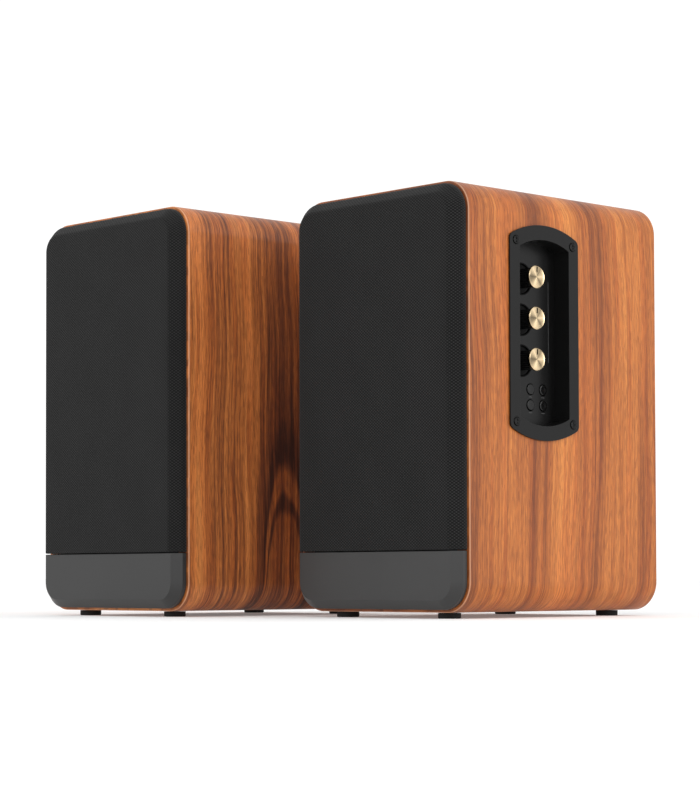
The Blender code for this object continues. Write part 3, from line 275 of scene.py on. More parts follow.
def finish_mesh(name, shape, merge=1e-7):
    bmesh.ops.remove_doubles(shape, verts=shape.verts, dist=merge)
    bmesh.ops.recalc_face_normals(shape, faces=shape.faces)
    mesh = bpy.data.meshes.new(name)
    shape.to_mesh(mesh)
    shape.free()
    return mesh


def turned(name, profile, steps=64, axis="X"):
    """A profile of (radius, distance along the axis) turned about it; it may start and end on it."""
    loops = []
    for radius, along in profile:
        ring = []
        for across, up in circle((0, 0), radius, steps):
            if axis == "X":
                ring.append((along, across, up))
            elif axis == "Y":
                ring.append((across, along, up))
            else:
                ring.append((across, up, along))
        loops.append(ring)
    closed = profile[0][0] > 0
    return finish_mesh(name, loft(loops, closed_path=closed))


def flat_prism(name, outlines, low, high, edge=0.0, steps=2):
    """Outlines in (Y, Z), inner ones being holes, filled from X = low to high, with round edges."""
    curve = bpy.data.curves.new(name, "CURVE")
    curve.dimensions = "2D"
    curve.fill_mode = "BOTH"
    curve.extrude = (high - low) / 2 - edge
    curve.bevel_depth = edge
    curve.bevel_resolution = steps
    curve.offset = -edge
    for outline in outlines:
        spline = curve.splines.new("POLY")
        spline.points.add(len(outline) - 1)
        for point, (y, z) in zip(spline.points, outline):
            point.co = (y, z, 0, 1)
        spline.use_cyclic_u = True
    guide = bpy.data.objects.new(name, curve)
    bpy.context.scene.collection.objects.link(guide)
    graph = bpy.context.evaluated_depsgraph_get()
    mesh = bpy.data.meshes.new_from_object(guide.evaluated_get(graph))
    bpy.data.objects.remove(guide)
    shape = bmesh.new()
    shape.from_mesh(mesh)
    bmesh.ops.remove_doubles(shape, verts=shape.verts, dist=1e-6)
    middle = (low + high) / 2
    to_side = Matrix(((0, 0, 1, middle), (1, 0, 0, 0), (0, 1, 0, 0), (0, 0, 0, 1)))
    bmesh.ops.transform(shape, matrix=to_side, verts=shape.verts)
    return finish_mesh(name, shape)


def box_mesh(name, low, high):
    shape = bmesh.new()
    size = [b - a for a, b in zip(low, high)]
    bmesh.ops.create_cube(shape, size=1)
    bmesh.ops.scale(shape, vec=size, verts=shape.verts)
    bmesh.ops.translate(shape, vec=[(a + b) / 2 for a, b in zip(low, high)], verts=shape.verts)
    return finish_mesh(name, shape)


def placed(name, mesh, body, material, smooth):
    """A named piece whose mesh is already in the pair's frame; faces meet softly below `smooth`."""
    obj = bpy.data.objects.new(name, mesh)
    bpy.context.scene.collection.objects.link(obj)
    mesh.materials.clear()
    mesh.materials.append(material)
    mesh.shade_smooth()
    mesh.set_sharp_from_angle(angle=math.radians(smooth))
    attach(obj, body)
    return obj


def piece(name, mesh, prefix, at, body, material, smooth=35):
    """A named piece that rides on a CAD body, its mesh moved into the pair's frame."""
    mesh.transform(Matrix.Translation(ORIGIN[prefix] + Vector(at)))
    return placed(name, mesh, body, material, smooth)


def even_shading(obj):
    """Normals that follow the large faces, so that a flat side stays flat up to its rounded edges."""
    normals = obj.modifiers.new("normals", "WEIGHTED_NORMAL")
    normals.keep_sharp = True
    normals.weight = 100


def cut_out(obj, cutters, material=None):
    """Cuts solid meshes, given in the same frame as the piece, out of it."""
    for index, mesh in enumerate(cutters):
        mesh.materials.clear()
        mesh.materials.append(material or obj.data.materials[0])
        cutter = bpy.data.objects.new(f"{obj.name}_cutter_{index}", mesh)
        bpy.context.scene.collection.objects.link(cutter)
        modifier = obj.modifiers.new("cut", "BOOLEAN")
        modifier.operation = "DIFFERENCE"
        modifier.solver = "EXACT"
        modifier.material_mode = "TRANSFER"
        modifier.object = cutter
        graph = bpy.context.evaluated_depsgraph_get()
        result = bpy.data.meshes.new_from_object(obj.evaluated_get(graph))
        obj.modifiers.clear()
        obj.data = result
        bpy.data.objects.remove(cutter)


def softened(node, body, material, edge, sharp=35):
    """A CAD node's solid with its edges rounded, standing in for the node."""
    shape = bmesh.new()
    shape.from_mesh(frame["nodes"][node].data)
    bmesh.ops.remove_doubles(shape, verts=shape.verts, dist=1e-6)
    flat = math.radians(1)
    bmesh.ops.dissolve_limit(shape, angle_limit=flat, verts=shape.verts, edges=shape.edges)
    edges = []
    for seam in shape.edges:
        if len(seam.link_faces) == 2 and seam.calc_face_angle() > math.radians(sharp):
            edges.append(seam)
    bmesh.ops.bevel(shape, geom=edges, offset=edge, offset_type="OFFSET", segments=2,
                    profile=0.5, affect="EDGES", clamp_overlap=True)
    mesh = finish_mesh(node + "_shape", shape, merge=1e-6)
    obj = placed(node + "_shape", mesh, body, material, sharp)
    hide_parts(node)


# --- materials ------------------------------------------------------------------------------------


class Shading:
    """A material's node tree, with short calls for the nodes used here."""

    def __init__(self, name, roughness=0.5, metallic=0.0, specular=0.5):
        self.material = bpy.data.materials.new(name)
        self.material.use_nodes = True
        self.tree = self.material.node_tree
        self.shader = self.tree.nodes["Principled BSDF"]
        self.shader.inputs["Roughness"].default_value = roughness
        self.shader.inputs["Metallic"].default_value = metallic
        self.shader.inputs["Specular IOR Level"].default_value = specular

    def add(self, kind, values=(), **settings):
        made = self.tree.nodes.new(kind)
        for key, value in settings.items():
            setattr(made, key, value)
        for key, value in dict(values).items():
            self.put(made.inputs[key], value)
        return made

    def put(self, socket, value):
        if isinstance(value, bpy.types.NodeSocket):
            self.tree.links.new(value, socket)
        else:
            socket.default_value = value

    def math(self, operation, first, second=0.0):
        made = self.add("ShaderNodeMath", {0: first, 1: second}, operation=operation)
        return made.outputs[0]

    def vector(self, x, y, z=0.0):
        return self.add("ShaderNodeCombineXYZ", {0: x, 1: y, 2: z}).outputs[0]

    def split(self, vector):
        return self.add("ShaderNodeSeparateXYZ", {0: vector}).outputs

    def place(self):
        """The point in the object's own frame, in metres."""
        return self.add("ShaderNodeTexCoord").outputs["Object"]

    def uv(self, name):
        return self.add("ShaderNodeUVMap", uv_map=name).outputs[0]

    def noise(self, vector, scale=1.0, detail=2.0, roughness=0.5):
        values = {"Vector": vector, "Scale": scale, "Detail": detail, "Roughness": roughness}
        return self.add("ShaderNodeTexNoise", values).outputs["Fac"]

    def ramp(self, factor, stops):
        made = self.add("ShaderNodeValToRGB", {0: factor})
        elements = made.color_ramp.elements
        while len(elements) < len(stops):
            elements.new(1.0)
        for element, (position, colour) in zip(elements, stops):
            element.position = position
            element.color = (*colour, 1) if len(colour) == 3 else colour
        return made.outputs[0]

    def step(self, factor, low, high):
        """0 below `low`, 1 above `high`, smooth between."""
        values = {0: factor, 1: low, 2: high}
        made = self.add("ShaderNodeMapRange", values, interpolation_type="SMOOTHSTEP")
        return made.outputs[0]

    def mix(self, factor, first, second, blend="MIX"):
        made = self.add("ShaderNodeMix", {0: factor}, data_type="RGBA", blend_type=blend)
        self.put(made.inputs[6], first)
        self.put(made.inputs[7], second)
        return made.outputs[2]

    def colour(self, value):
        self.put(self.shader.inputs["Base Color"], value)

    def roughness(self, value):
        self.put(self.shader.inputs["Roughness"], value)

    def bump(self, height, strength, distance):
        values = {"Height": height, "Strength": strength, "Distance": distance}
        made = self.add("ShaderNodeBump", values)
        self.put(self.shader.inputs["Normal"], made.outputs[0])


def grey(value):
    return (value, value, value)


def waves(s, across, way, widths, seed, detail=2.0, roughness=0.55):
    """Streaks along the grain: `widths` is how many there are to a metre, across and along."""
    place = s.vector(s.math("MULTIPLY", across, widths[0]), s.math("MULTIPLY", way, widths[1]), seed)
    return s.step(s.noise(place, detail=detail, roughness=roughness), 0.26, 0.74)


def weighted(s, first, *pairs):
    """`first` plus each value less a half, times its weight."""
    total = first
    for value, weight in pairs:
        total = s.math("ADD", total, s.math("MULTIPLY", s.math("SUBTRACT", value, 0.5), weight))
    return total


def tone_ramp(s, place, whole, tones):
    """The tone at a place, `tones` being (mm, tone) over a length of `whole`."""
    stops = [(at * MM / whole, grey(tone)) for at, tone in tones]
    return s.ramp(s.math("DIVIDE", place, whole), stops)


def with_arches(s, y, way, shiver, tone):
    """The tone with the pointed arches that rise through the right side laid over it."""
    side = s.math("ADD", s.math("SUBTRACT", y, ARCH_Y), s.math("MULTIPLY", shiver, 1.2 * MM))
    rise = s.math("ADD", s.math("SUBTRACT", way, SIDE_START), s.math("MULTIPLY", shiver, 4 * MM))
    aside = s.math("POWER", s.math("ABSOLUTE", s.math("DIVIDE", side, ARCH_SPREAD)), 3)
    level = s.math("ADD", rise, s.math("MULTIPLY", aside, ARCH_SPREAD))
    pointed = tone_ramp(s, level, HEIGHT, ARCH_TONES)
    inside = s.math("SUBTRACT", 1.0, s.step(level, *ARCH_FADE))
    return s.mix(inside, tone, pointed)


def with_painted_edge_highlight(s, y, base):
    """A painted highlight, in a pale colour, along the wood's front edge."""
    ends = s.math("SUBTRACT", 1.0, s.step(y, 0.6 * MM, 1.0 * MM))
    edge = s.math("MULTIPLY", s.step(y, 0.0, 0.2 * MM), ends)
    return s.mix(s.math("MULTIPLY", edge, 0.45), base, PAINTED_EDGE_HIGHLIGHT)


def walnut(name, tones, layout, seed, contrast, arched=False):
    """Walnut-grain vinyl, on the map "wrap": Y, and the way round the cabinet.

    The grain runs the way round, so it folds over the cabinet's rounded edges.
    """
    s = Shading(name, roughness=0.42, specular=0.30)
    y, way, _ = s.split(s.uv("wrap"))
    sway = waves(s, y, way, (11, 6), seed, 1)
    shiver = waves(s, y, way, (90, 26), seed + 3, 2)
    across = weighted(s, y, (sway, 6 * MM), (shiver, 0.5 * MM))
    tone = tone_ramp(s, across, DEPTH, layout)
    if arched:
        tone = with_arches(s, y, way, shiver, tone)
    broad = waves(s, across, way, (70, 2.5), seed + 7, 1)
    streaks = waves(s, across, way, (250, 4), seed + 11, 3, 0.62)
    lines = waves(s, across, way, (800, 11), seed + 17, 2)
    fibres = waves(s, across, way, (1900, 95), seed + 23, 1)
    fine = ((streaks, 0.42 * contrast), (lines, 0.34 * contrast), (fibres, 0.15 * contrast))
    tone = weighted(s, tone, (broad, 0.20), *fine)
    base = s.ramp(tone, list(zip(TONE_STOPS, tones)))
    red = s.step(waves(s, across, way, (170, 5), seed + 29, 1), 0.48, 0.7)
    base = s.mix(s.math("MULTIPLY", red, 0.30), base, REDDISH, "MULTIPLY")
    pore = s.step(waves(s, across, way, (2400, 150), seed + 31, 0), 0.60, 0.72)
    base = s.mix(s.math("MULTIPLY", pore, 0.34), base, (*tones[-1], 1))
    # The wood's front edge gets a painted highlight
    s.colour(with_painted_edge_highlight(s, y, base))
    s.roughness(s.math("ADD", s.math("MULTIPLY", fibres, 0.12), 0.34))
    s.bump(s.math("SUBTRACT", s.math("MULTIPLY", fibres, 0.5), pore), 0.25, 0.00012)
    return s.material


def speaker_cloth():
    """A fine diagonal weave of charcoal thread, on the map "weave", in metres on the flat cloth."""
    s = Shading("grille_cloth", roughness=0.9, specular=0.2)
    s.shader.inputs["Sheen Weight"].default_value = 0.06
    s.shader.inputs["Sheen Roughness"].default_value = 0.5
    x, z, _ = s.split(s.uv("weave"))
    along = s.math("MULTIPLY", x, 2 * math.pi / THREAD_X)
    up = s.math("MULTIPLY", z, 2 * math.pi / THREAD_Z)
    one = s.math("SINE", s.math("ADD", along, up))
    two = s.math("SINE", s.math("SUBTRACT", along, up))
    knots = s.math("ADD", s.math("MULTIPLY", s.math("ADD", one, two), 0.25), 0.5)
    uneven = s.noise(s.vector(s.math("MULTIPLY", x, 1100), s.math("MULTIPLY", z, 1100)), detail=2)
    cloud = s.noise(s.vector(s.math("MULTIPLY", x, 35), s.math("MULTIPLY", z, 22)), detail=3)
    tone = weighted(s, knots, (uneven, 0.35), (cloud, 0.22))
    s.colour(s.ramp(tone, ((0.12, grey(0.0005)), (0.5, grey(0.0055)), (0.9, grey(0.025)))))
    s.bump(s.math("ADD", knots, s.math("MULTIPLY", uneven, 0.3)), 0.5, 0.0002)
    return s.material


def moulded(name, shade, roughness, grain=1800, depth=0.15, specular=0.5):
    """Moulded plastic with a fine spark-eroded texture and a slightly uneven tone."""
    s = Shading(name, specular=specular)
    place = s.place()
    texture = s.noise(place, grain, detail=2)
    cloud = s.noise(place, 22, detail=3)
    low, high = grey(shade * 0.88), grey(shade * 1.12)
    clouded = s.ramp(cloud, ((0.3, low), (0.7, high)))
    textured = s.ramp(texture, ((0.3, low), (0.7, high)))
    s.colour(s.mix(0.35, clouded, textured))
    s.roughness(s.math("ADD", s.math("MULTIPLY", texture, 0.12), roughness - 0.06))
    s.bump(texture, depth, 0.00006)
    return s.material


def spun_metal(name, light, dark, roughness):
    """Metal turned on a lathe: sheen that fans out from the middle, painted highlights and shade in
    sectors round it, and fine concentric rings.

    The map "face" is (Y, Z) from the middle of the turned face.
    """
    s = Shading(name, metallic=1.0, roughness=roughness)
    s.shader.inputs["Anisotropic"].default_value = 0.85
    tangent = s.add("ShaderNodeTangent", direction_type="RADIAL", axis="X")
    s.put(s.shader.inputs["Tangent"], tangent.outputs[0])
    x, y, _ = s.split(s.uv("face"))
    radius = s.math("SQRT", s.math("ADD", s.math("MULTIPLY", x, x), s.math("MULTIPLY", y, y)))
    rings = s.noise(s.vector(s.math("MULTIPLY", radius, 9000), 0.0), detail=3)
    turn = s.math("DIVIDE", s.math("ADD", s.math("ARCTAN2", y, x), math.pi), 2 * math.pi)
    # Painted highlights and shade, in fixed sectors round the face's middle
    painted_highlights = s.ramp(turn, [(at / 360, grey(shade)) for at, shade in SPUN_PAINTED_HIGHLIGHTS])
    base = s.ramp(rings, ((0.3, dark), (0.7, light)))
    s.colour(s.mix(1.0, base, painted_highlights, "MULTIPLY"))
    s.bump(rings, 0.10, 0.00002)
    return s.material


def brushed_metal(name, light, dark, roughness):
    """Brushed sheet metal, its lines running across."""
    s = Shading(name, metallic=1.0)
    x, _, z = s.split(s.place())
    lines = s.noise(s.vector(s.math("MULTIPLY", x, 30), s.math("MULTIPLY", z, 4000)), detail=2)
    s.colour(s.ramp(lines, ((0.3, dark), (0.7, light))))
    s.roughness(s.math("ADD", s.math("MULTIPLY", lines, 0.15), roughness))
    s.bump(lines, 0.12, 0.00003)
    return s.material


def plain_metal(name, shade, roughness):
    s = Shading(name, metallic=1.0)
    wear = s.noise(s.place(), 900, detail=3)
    s.colour(s.ramp(wear, ((0.3, grey(shade * 0.8)), (0.7, grey(shade * 1.2)))))
    s.roughness(s.math("ADD", s.math("MULTIPLY", wear, 0.15), roughness))
    return s.material


def paper_cone():
    s = Shading("paper_cone", roughness=0.85, specular=0.3)
    fibres = s.noise(s.place(), 1400, detail=4, roughness=0.7)
    s.colour(s.ramp(fibres, ((0.3, grey(0.012)), (0.7, grey(0.035)))))
    s.bump(fibres, 0.4, 0.0002)
    return s.material


def circuit_board():
    s = Shading("circuit_board", roughness=0.5)
    cells = s.add("ShaderNodeTexVoronoi", {"Vector": s.place(), "Scale": 260.0}, distance="MANHATTAN")
    tone = s.noise(s.place(), 300, detail=1)
    tracks = s.step(cells.outputs["Distance"], 0.42, 0.5)
    s.colour(s.mix(s.math("MULTIPLY", tracks, tone), (0.012, 0.09, 0.045, 1), (0.03, 0.17, 0.08, 1)))
    return s.material


def laminated_steel():
    s = Shading("transformer_steel", metallic=1.0, roughness=0.45)
    _, y, _ = s.split(s.place())
    sheets = s.noise(s.vector(s.math("MULTIPLY", y, 2200), 0.0), detail=1)
    s.colour(s.ramp(sheets, ((0.35, grey(0.10)), (0.65, grey(0.32)))))
    s.bump(sheets, 0.3, 0.0001)
    return s.material


RIGHT_WOOD = walnut("walnut_vinyl", RIGHT_TONES, RIGHT_LAYOUT, seed=2.7, contrast=0.75)
LEFT_WOOD = walnut("walnut_vinyl_dark", LEFT_TONES, LEFT_LAYOUT, seed=9.3, contrast=1.0, arched=True)
MATERIALS = {
    "grille_cloth": speaker_cloth(),
    "moulded_grey": moulded("moulded_grey", 0.026, 0.42, grain=2600, specular=0.42),
    "black_board": moulded("black_board", 0.018, 0.60, grain=900, depth=0.3),
    "black_plastic": moulded("black_plastic", 0.005, 0.36, specular=0.20),
    "gloss_black": moulded("gloss_black", 0.003, 0.14, grain=300, depth=0.02, specular=0.35),
    "spun_brass": spun_metal("spun_brass", (1.0, 0.83, 0.56), (0.92, 0.66, 0.37), 0.26),
    "black_steel": moulded("black_steel", 0.002, 0.12, grain=1500, depth=0.05, specular=0.20),
    "pressed_steel": plain_metal("pressed_steel", 0.05, 0.40),
    "ferrite": moulded("ferrite", 0.035, 0.75, grain=700, depth=0.5),
    "paper_cone": paper_cone(),
    "rubber": moulded("rubber", 0.012, 0.70, grain=1200, depth=0.3, specular=0.3),
    "silk_dome": moulded("silk_dome", 0.02, 0.55, grain=2500, depth=0.4),
    "aluminium_plate": brushed_metal("aluminium_plate", grey(0.10), grey(0.055), 0.35),
    "circuit_board": circuit_board(),
    "transformer_steel": laminated_steel(),
    "walnut_vinyl": RIGHT_WOOD,
    "print": moulded("print", 0.07, 0.5),
    "deep_black": moulded("deep_black", 0.0015, 0.30, grain=300, depth=0.02, specular=0.06),
    "tray_black": moulded("tray_black", 0.004, 0.30, grain=1500, depth=0.05, specular=0.26),
    "nickel": plain_metal("nickel", 0.55, 0.18),
}


# --- cabinets -------------------------------------------------------------------------------------


def cabinet_outline(inset):
    """The cabinet's section, from the middle of its underside round by the right, as (X, Z)."""
    reach, radius = HALF_WIDTH - inset, CORNER - inset
    low, high = inset + radius, HEIGHT - inset - radius
    points = [(0, inset), (reach / 2, inset)]
    points += arc((reach - radius, low), radius, -90, 0, CORNER_STEPS)
    points += arc((reach - radius, high), radius, 0, 90, CORNER_STEPS)
    points += arc((radius - reach, high), radius, 90, 180, CORNER_STEPS)
    points += arc((radius - reach, low), radius, 180, 270, CORNER_STEPS)
    points += [(-reach / 2, inset), (0, inset)]
    return points


def way_round():
    """How far each point of the outer section lies along it."""
    points = cabinet_outline(0)
    ways = [0.0]
    for before, after in zip(points, points[1:]):
        ways.append(ways[-1] + math.dist(before, after))
    return ways


def make_cabinet(prefix, body, material):
    """A tube of board with rounded front and rear edges, and the map of the vinyl round it."""
    turns = [math.radians(angle) for angle in (0, 30, 60, 90)]
    rounding = [(WOOD_EDGE * (1 - math.sin(t)), WOOD_EDGE * (1 - math.cos(t))) for t in turns]
    section = [(WALL, 0)] + rounding
    section += [(inset, DEPTH - y) for inset, y in reversed(rounding)] + [(WALL, DEPTH)]
    loops = [[(x, y, z) for x, z in cabinet_outline(inset)] for inset, y in section]
    ways = way_round()
    shape = loft(loops, closed_ring=False, closed_path=True)
    count = len(ways)
    wrap = shape.loops.layers.uv.new("wrap")
    shape.verts.index_update()
    for face in shape.faces:
        for corner in face.loops:
            corner[wrap].uv = (corner.vert.co.y, ways[corner.vert.index % count])
    mesh = finish_mesh(prefix + "cabinet_shell", shape)
    cabinet = piece(prefix + "cabinet_shell", mesh, prefix, (0, 0, 0), body,
                    material)
    if prefix == "active_":
        inside = HALF_WIDTH - WALL - CLEAR
        window = [recess_outline(RECESS_WALL + CLEAR)]
        cutters = [flat_prism("window", window, inside, HALF_WIDTH + WALL)]
        for place in screw_places():
            hole = [circle(place, SCREW_SHANK + CLEAR, 16)]
            cutters.append(flat_prism("hole", hole, HALF_WIDTH - SCREW_HOLE_DEPTH, HALF_WIDTH + WALL))
        for cutter in cutters:
            cutter.transform(Matrix.Translation(ORIGIN[prefix]))
        cut_out(cabinet, cutters)
    even_shading(cabinet)
    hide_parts(prefix + "cabinet")


# --- front panels ---------------------------------------------------------------------------------


def rounded_profile(points, radii, steps=4):
    """A bent line with each inner corner rounded by its radius."""
    line = [points[0]]
    for before, corner, after, radius in zip(points, points[1:], points[2:], radii):
        here = Vector(corner)
        to_before = (Vector(before) - here).normalized()
        to_after = (Vector(after) - here).normalized()
        half = to_before.angle(to_after) / 2
        start = here + to_before * radius / math.tan(half)
        end = here + to_after * radius / math.tan(half)
        centre = here + (to_before + to_after).normalized() * radius / math.sin(half)
        for step in range(steps + 1):
            share = step / steps
            away = (start - centre).slerp(end - centre, share)
            line.append(tuple(centre + away * radius))
    line.append(points[-1])
    return line


def grille_outline(inset, floor):
    """From the lower left end up, over the top and down to the lower right end, as (X, Z)."""
    reach, radius = HALF_WIDTH - inset, CORNER - inset
    high = HEIGHT - inset - radius
    points = [(-reach, floor), (-reach, (floor + high) / 2)]
    points += arc((radius - reach, high), radius, 180, 90, CORNER_STEPS)
    points += arc((reach - radius, high), radius, 90, 0, CORNER_STEPS)
    points += [(reach, (floor + high) / 2), (reach, floor)]
    return points


def bar_outline(inset, ceiling):
    """From the upper left end down, along the bottom and up to the upper right end, as (X, Z)."""
    reach, radius = HALF_WIDTH - inset, CORNER - inset
    low = inset + radius
    points = [(-reach, ceiling)]
    points += arc((radius - reach, low), radius, 180, 270, CORNER_STEPS)
    points += arc((reach - radius, low), radius, 270, 360, CORNER_STEPS)
    points += [(reach, ceiling)]
    return points


def spread_flat(profile, floor):
    """For each row of the cloth, the outline that it takes when the cloth is laid flat."""
    rows = []
    travelled = 0.0
    before = profile[-1]
    for here in reversed(profile):
        travelled += math.dist(here, before)
        before = here
        rows.append(grille_outline(profile[-1][0] - travelled, floor))
    return rows[::-1]


def close_under(shape, rows, count, floor, proud, weave):
    """The straight fold under the lower end, in vertices of its own so that its map runs on."""
    verts = shape.verts
    ends = [verts[row * count] for row in range(rows)]
    ends += [verts[row * count + count - 1] for row in range(rows - 1, -1, -1)]
    under = [verts.new(vert.co) for vert in ends]
    for vert, end in zip(under, ends):
        weave[vert] = (weave[end][0], floor + vert.co.y + proud)
    shape.faces.new(under)


def cloth_mesh(name, profile, floor, proud):
    """The cloth's outer surface, with the map "weave", in metres on the flat cloth."""
    loops = [[(x, y, z) for x, z in grille_outline(inset, floor)] for inset, y in profile]
    shape = loft(loops, closed_ring=False)
    shape.verts.ensure_lookup_table()
    rows, count = len(profile), len(loops[0])
    weave = {}
    for row, spread in enumerate(spread_flat(profile, floor)):
        for index in range(count):
            weave[shape.verts[row * count + index]] = spread[index]
    shape.faces.new(shape.verts[(rows - 1) * count:])
    close_under(shape, rows, count, floor, proud, weave)
    layer = shape.loops.layers.uv.new("weave")
    for face in shape.faces:
        for corner in face.loops:
            corner[layer].uv = weave[corner.vert]
    return finish_mesh(name, shape, merge=1e-6)


def soften_ends(obj, name, width):
    """Rounds only the sharp turn where a front piece's straight end meets its face."""
    rounding = obj.modifiers.new(name, "BEVEL")
    rounding.width = width
    rounding.segments = 2
    rounding.angle_limit = END_ANGLE


def make_cloth(prefix, body):
    """Cloth stretched over the frame's face, bevel and sides, and folded under its lower end."""
    proud = PANEL_SIDE + GRILLE_BEVEL
    face_inset = RIM + GRILLE_BEVEL
    corners = [(RIM, -PANEL_BACK), (RIM, -PANEL_SIDE), (face_inset, -proud), (2 * face_inset, -proud)]
    profile = rounded_profile(corners, (CLOTH_FOLD, CLOTH_FOLD))
    floor = SEAM + SEAM_GAP / 2
    name = prefix + "grille_cloth_sheet"
    mesh = cloth_mesh(name, profile, floor, proud)
    cloth = piece(name, mesh, prefix, (0, 0, 0), body, MATERIALS["grille_cloth"])
    soften_ends(cloth, "lower_fold", CLOTH_LOWER_FOLD)
    thickness = cloth.modifiers.new("thickness", "SOLIDIFY")
    thickness.thickness = CLOTH
    thickness.offset = -1
    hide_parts(prefix + "grille_cloth")


def make_bar(prefix, body):
    """The moulded strip under the grille: a bevelled face, straight sides and slightly soft edges."""
    proud = PANEL_SIDE + BAR_BEVEL
    face_inset = RIM + BAR_BEVEL
    corners = [(RIM, -PANEL_BACK), (RIM, -PANEL_SIDE), (face_inset, -proud)]
    corners.append((face_inset + BAR_FACE_START, -proud))
    profile = rounded_profile(corners, (BAR_FOLD, BAR_FOLD), 3)
    ceiling = SEAM - SEAM_GAP / 2
    loops = [[(x, y, z) for x, z in bar_outline(inset, ceiling)] for inset, y in profile]
    shape = loft(loops, closed_ring=False)
    shape.verts.ensure_lookup_table()
    count, rows = len(loops[0]), len(profile)
    shape.faces.new(shape.verts[(rows - 1) * count:rows * count])
    shape.faces.new(shape.verts[:count])
    top = [shape.verts[row * count] for row in range(rows)]
    top += [shape.verts[row * count + count - 1] for row in range(rows - 1, -1, -1)]
    shape.faces.new(top)
    mesh = finish_mesh(prefix + "trim_bar_shape", shape)
    bar = piece(prefix + "trim_bar_shape", mesh, prefix, (0, 0, 0), body,
                MATERIALS["moulded_grey"], smooth=28)
    soften_ends(bar, "top_edge", BAR_TOP_EDGE)
    even_shading(bar)
    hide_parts(prefix + "trim_bar")


# --- control panel --------------------------------------------------------------------------------


def make_bezel(prefix, body):
    """The plate with its bowed ends, and the tray's walls and floor behind its opening."""
    black, tray = MATERIALS["black_plastic"], MATERIALS["tray_black"]
    holes = [circle(place, SCREW_RADIUS + CLEAR, 32) for place in screw_places()]
    rim = arched_box(BEZEL_WIDTH, BEZEL_HEIGHT, BEZEL_ARCH, BEZEL_CORNER)
    floor_x = HALF_WIDTH - RECESS_DEPTH
    plate_low, plate_high = HALF_WIDTH + BEZEL_LOW, HALF_WIDTH + BEZEL_HIGH
    plate = flat_prism("plate", [rim, recess_outline(0)] + holes, plate_low, plate_high, BEZEL_EDGE, 3)
    plate = piece(prefix + "bezel_plate", plate, prefix, (0, 0, 0), body, black)
    even_shading(plate)
    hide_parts(prefix + "control_bezel")
    outer, inner = recess_outline(RECESS_WALL), recess_outline(0)
    wall = flat_prism("wall", [outer, inner], floor_x - RECESS_FLOOR, plate_low + CLEAR)
    piece(prefix + "bezel_tray_wall", wall, prefix, (0, 0, 0), body, black)
    openings = [circle((KNOB_Y, z), DISH_RADIUS, 64) for z in KNOB_Z]
    openings += [circle((y, z), BUTTON_HOLE, 40) for y in BUTTON_Y for z in BUTTON_Z]
    floor = flat_prism("floor", [recess_outline(0)] + openings, floor_x - RECESS_FLOOR, floor_x)
    piece(prefix + "bezel_tray_floor", floor, prefix, (0, 0, 0), body, tray)


def make_dishes(prefix, body):
    """The round dishes in the tray's floor that the knobs stand in."""
    low, back = -DISH_DEPTH, -DISH_DEPTH - DISH_THICKNESS
    inner, outer = DISH_RADIUS - DISH_FLOOR_INSET, DISH_RADIUS - DISH_WALL_INSET
    profile = [(SHAFT_RADIUS, low), (inner, low)]
    profile += arc((inner, low + DISH_SOFT), DISH_SOFT, -90, 0, 6)[1:]
    profile += [(outer, -DISH_LIP), (DISH_RADIUS - DISH_LIP, 0.0), (DISH_RADIUS, 0.0)]
    profile += [(DISH_RADIUS, back), (SHAFT_RADIUS, back)]
    for index, z in enumerate(KNOB_Z):
        at = (HALF_WIDTH - RECESS_DEPTH, KNOB_Y, z)
        name = f"{prefix}knob_dish_{index + 1}"
        piece(name, turned("dish", profile), prefix, at, body, MATERIALS["deep_black"])


def make_screw_seats(prefix, body):
    """Dark rings on the wood, at the bottom of the bezel's screw holes."""
    inner, outer = SCREW_SHANK + CLEAR, SCREW_RADIUS + 2 * CLEAR
    profile = [(inner, SEAT_PROUD), (outer, SEAT_PROUD), (outer, BEZEL_LOW), (inner, BEZEL_LOW)]
    for index, (y, z) in enumerate(screw_places()):
        name = f"{prefix}screw_seat_{index + 1}"
        seat = turned("seat", profile, 32)
        at = (HALF_WIDTH, y, z)
        piece(name, seat, prefix, at, body, MATERIALS["deep_black"])


def make_prints(prefix, body):
    """Thin pale lines on the tray's floor: one beside the knobs, and a dash under each button."""
    floor_x = HALF_WIDTH - RECESS_DEPTH
    low, high = floor_x - PRINT_PROUD, floor_x + PRINT_PROUD
    beside = BUTTON_Y[1] + PRINT_BEHIND
    dashes = [((beside, KNOB_Z[2]), (beside + PRINT_LINE, KNOB_Z[0]))]
    for z in BUTTON_Z:
        for y in BUTTON_Y:
            under = z - BUTTON_RADIUS - DASH_BELOW
            dashes.append(((y - DASH_HALF, under), (y + DASH_HALF, under + PRINT_LINE)))
    shape = bmesh.new()
    for (y_low, z_low), (y_high, z_high) in dashes:
        block = box_mesh("dash", (low, y_low, z_low), (high, y_high, z_high))
        shape.from_mesh(block)
        bpy.data.meshes.remove(block)
    mesh = finish_mesh(prefix + "panel_prints", shape)
    piece(prefix + "panel_prints", mesh, prefix, (0, 0, 0), body,
          MATERIALS["print"])


def cap_mesh():
    """A very shallow hollow cone with a bright chamfer, and the map "face", (Y, Z) from its middle."""
    back = CAP_PROUD - CAP_THICKNESS
    profile = [(0, back), (CAP_RADIUS - CAP_BACK_EDGE, back), (CAP_RADIUS, back + CAP_BACK_EDGE)]
    profile += [(CAP_RADIUS, CAP_PROUD - CAP_EDGE), (CAP_RADIUS - CAP_EDGE, CAP_PROUD)]
    profile += [(CAP_RADIUS * share, CAP_PROUD - CAP_HOLLOW * (1 - share)) for share in CAP_RINGS]
    profile += [(0, CAP_PROUD - CAP_HOLLOW)]
    mesh = turned("cap", profile, 96)
    face = mesh.uv_layers.new(name="face")
    for corner in mesh.loops:
        point = mesh.vertices[corner.vertex_index].co
        face.data[corner.index].uv = (point.y, point.z)
    return mesh


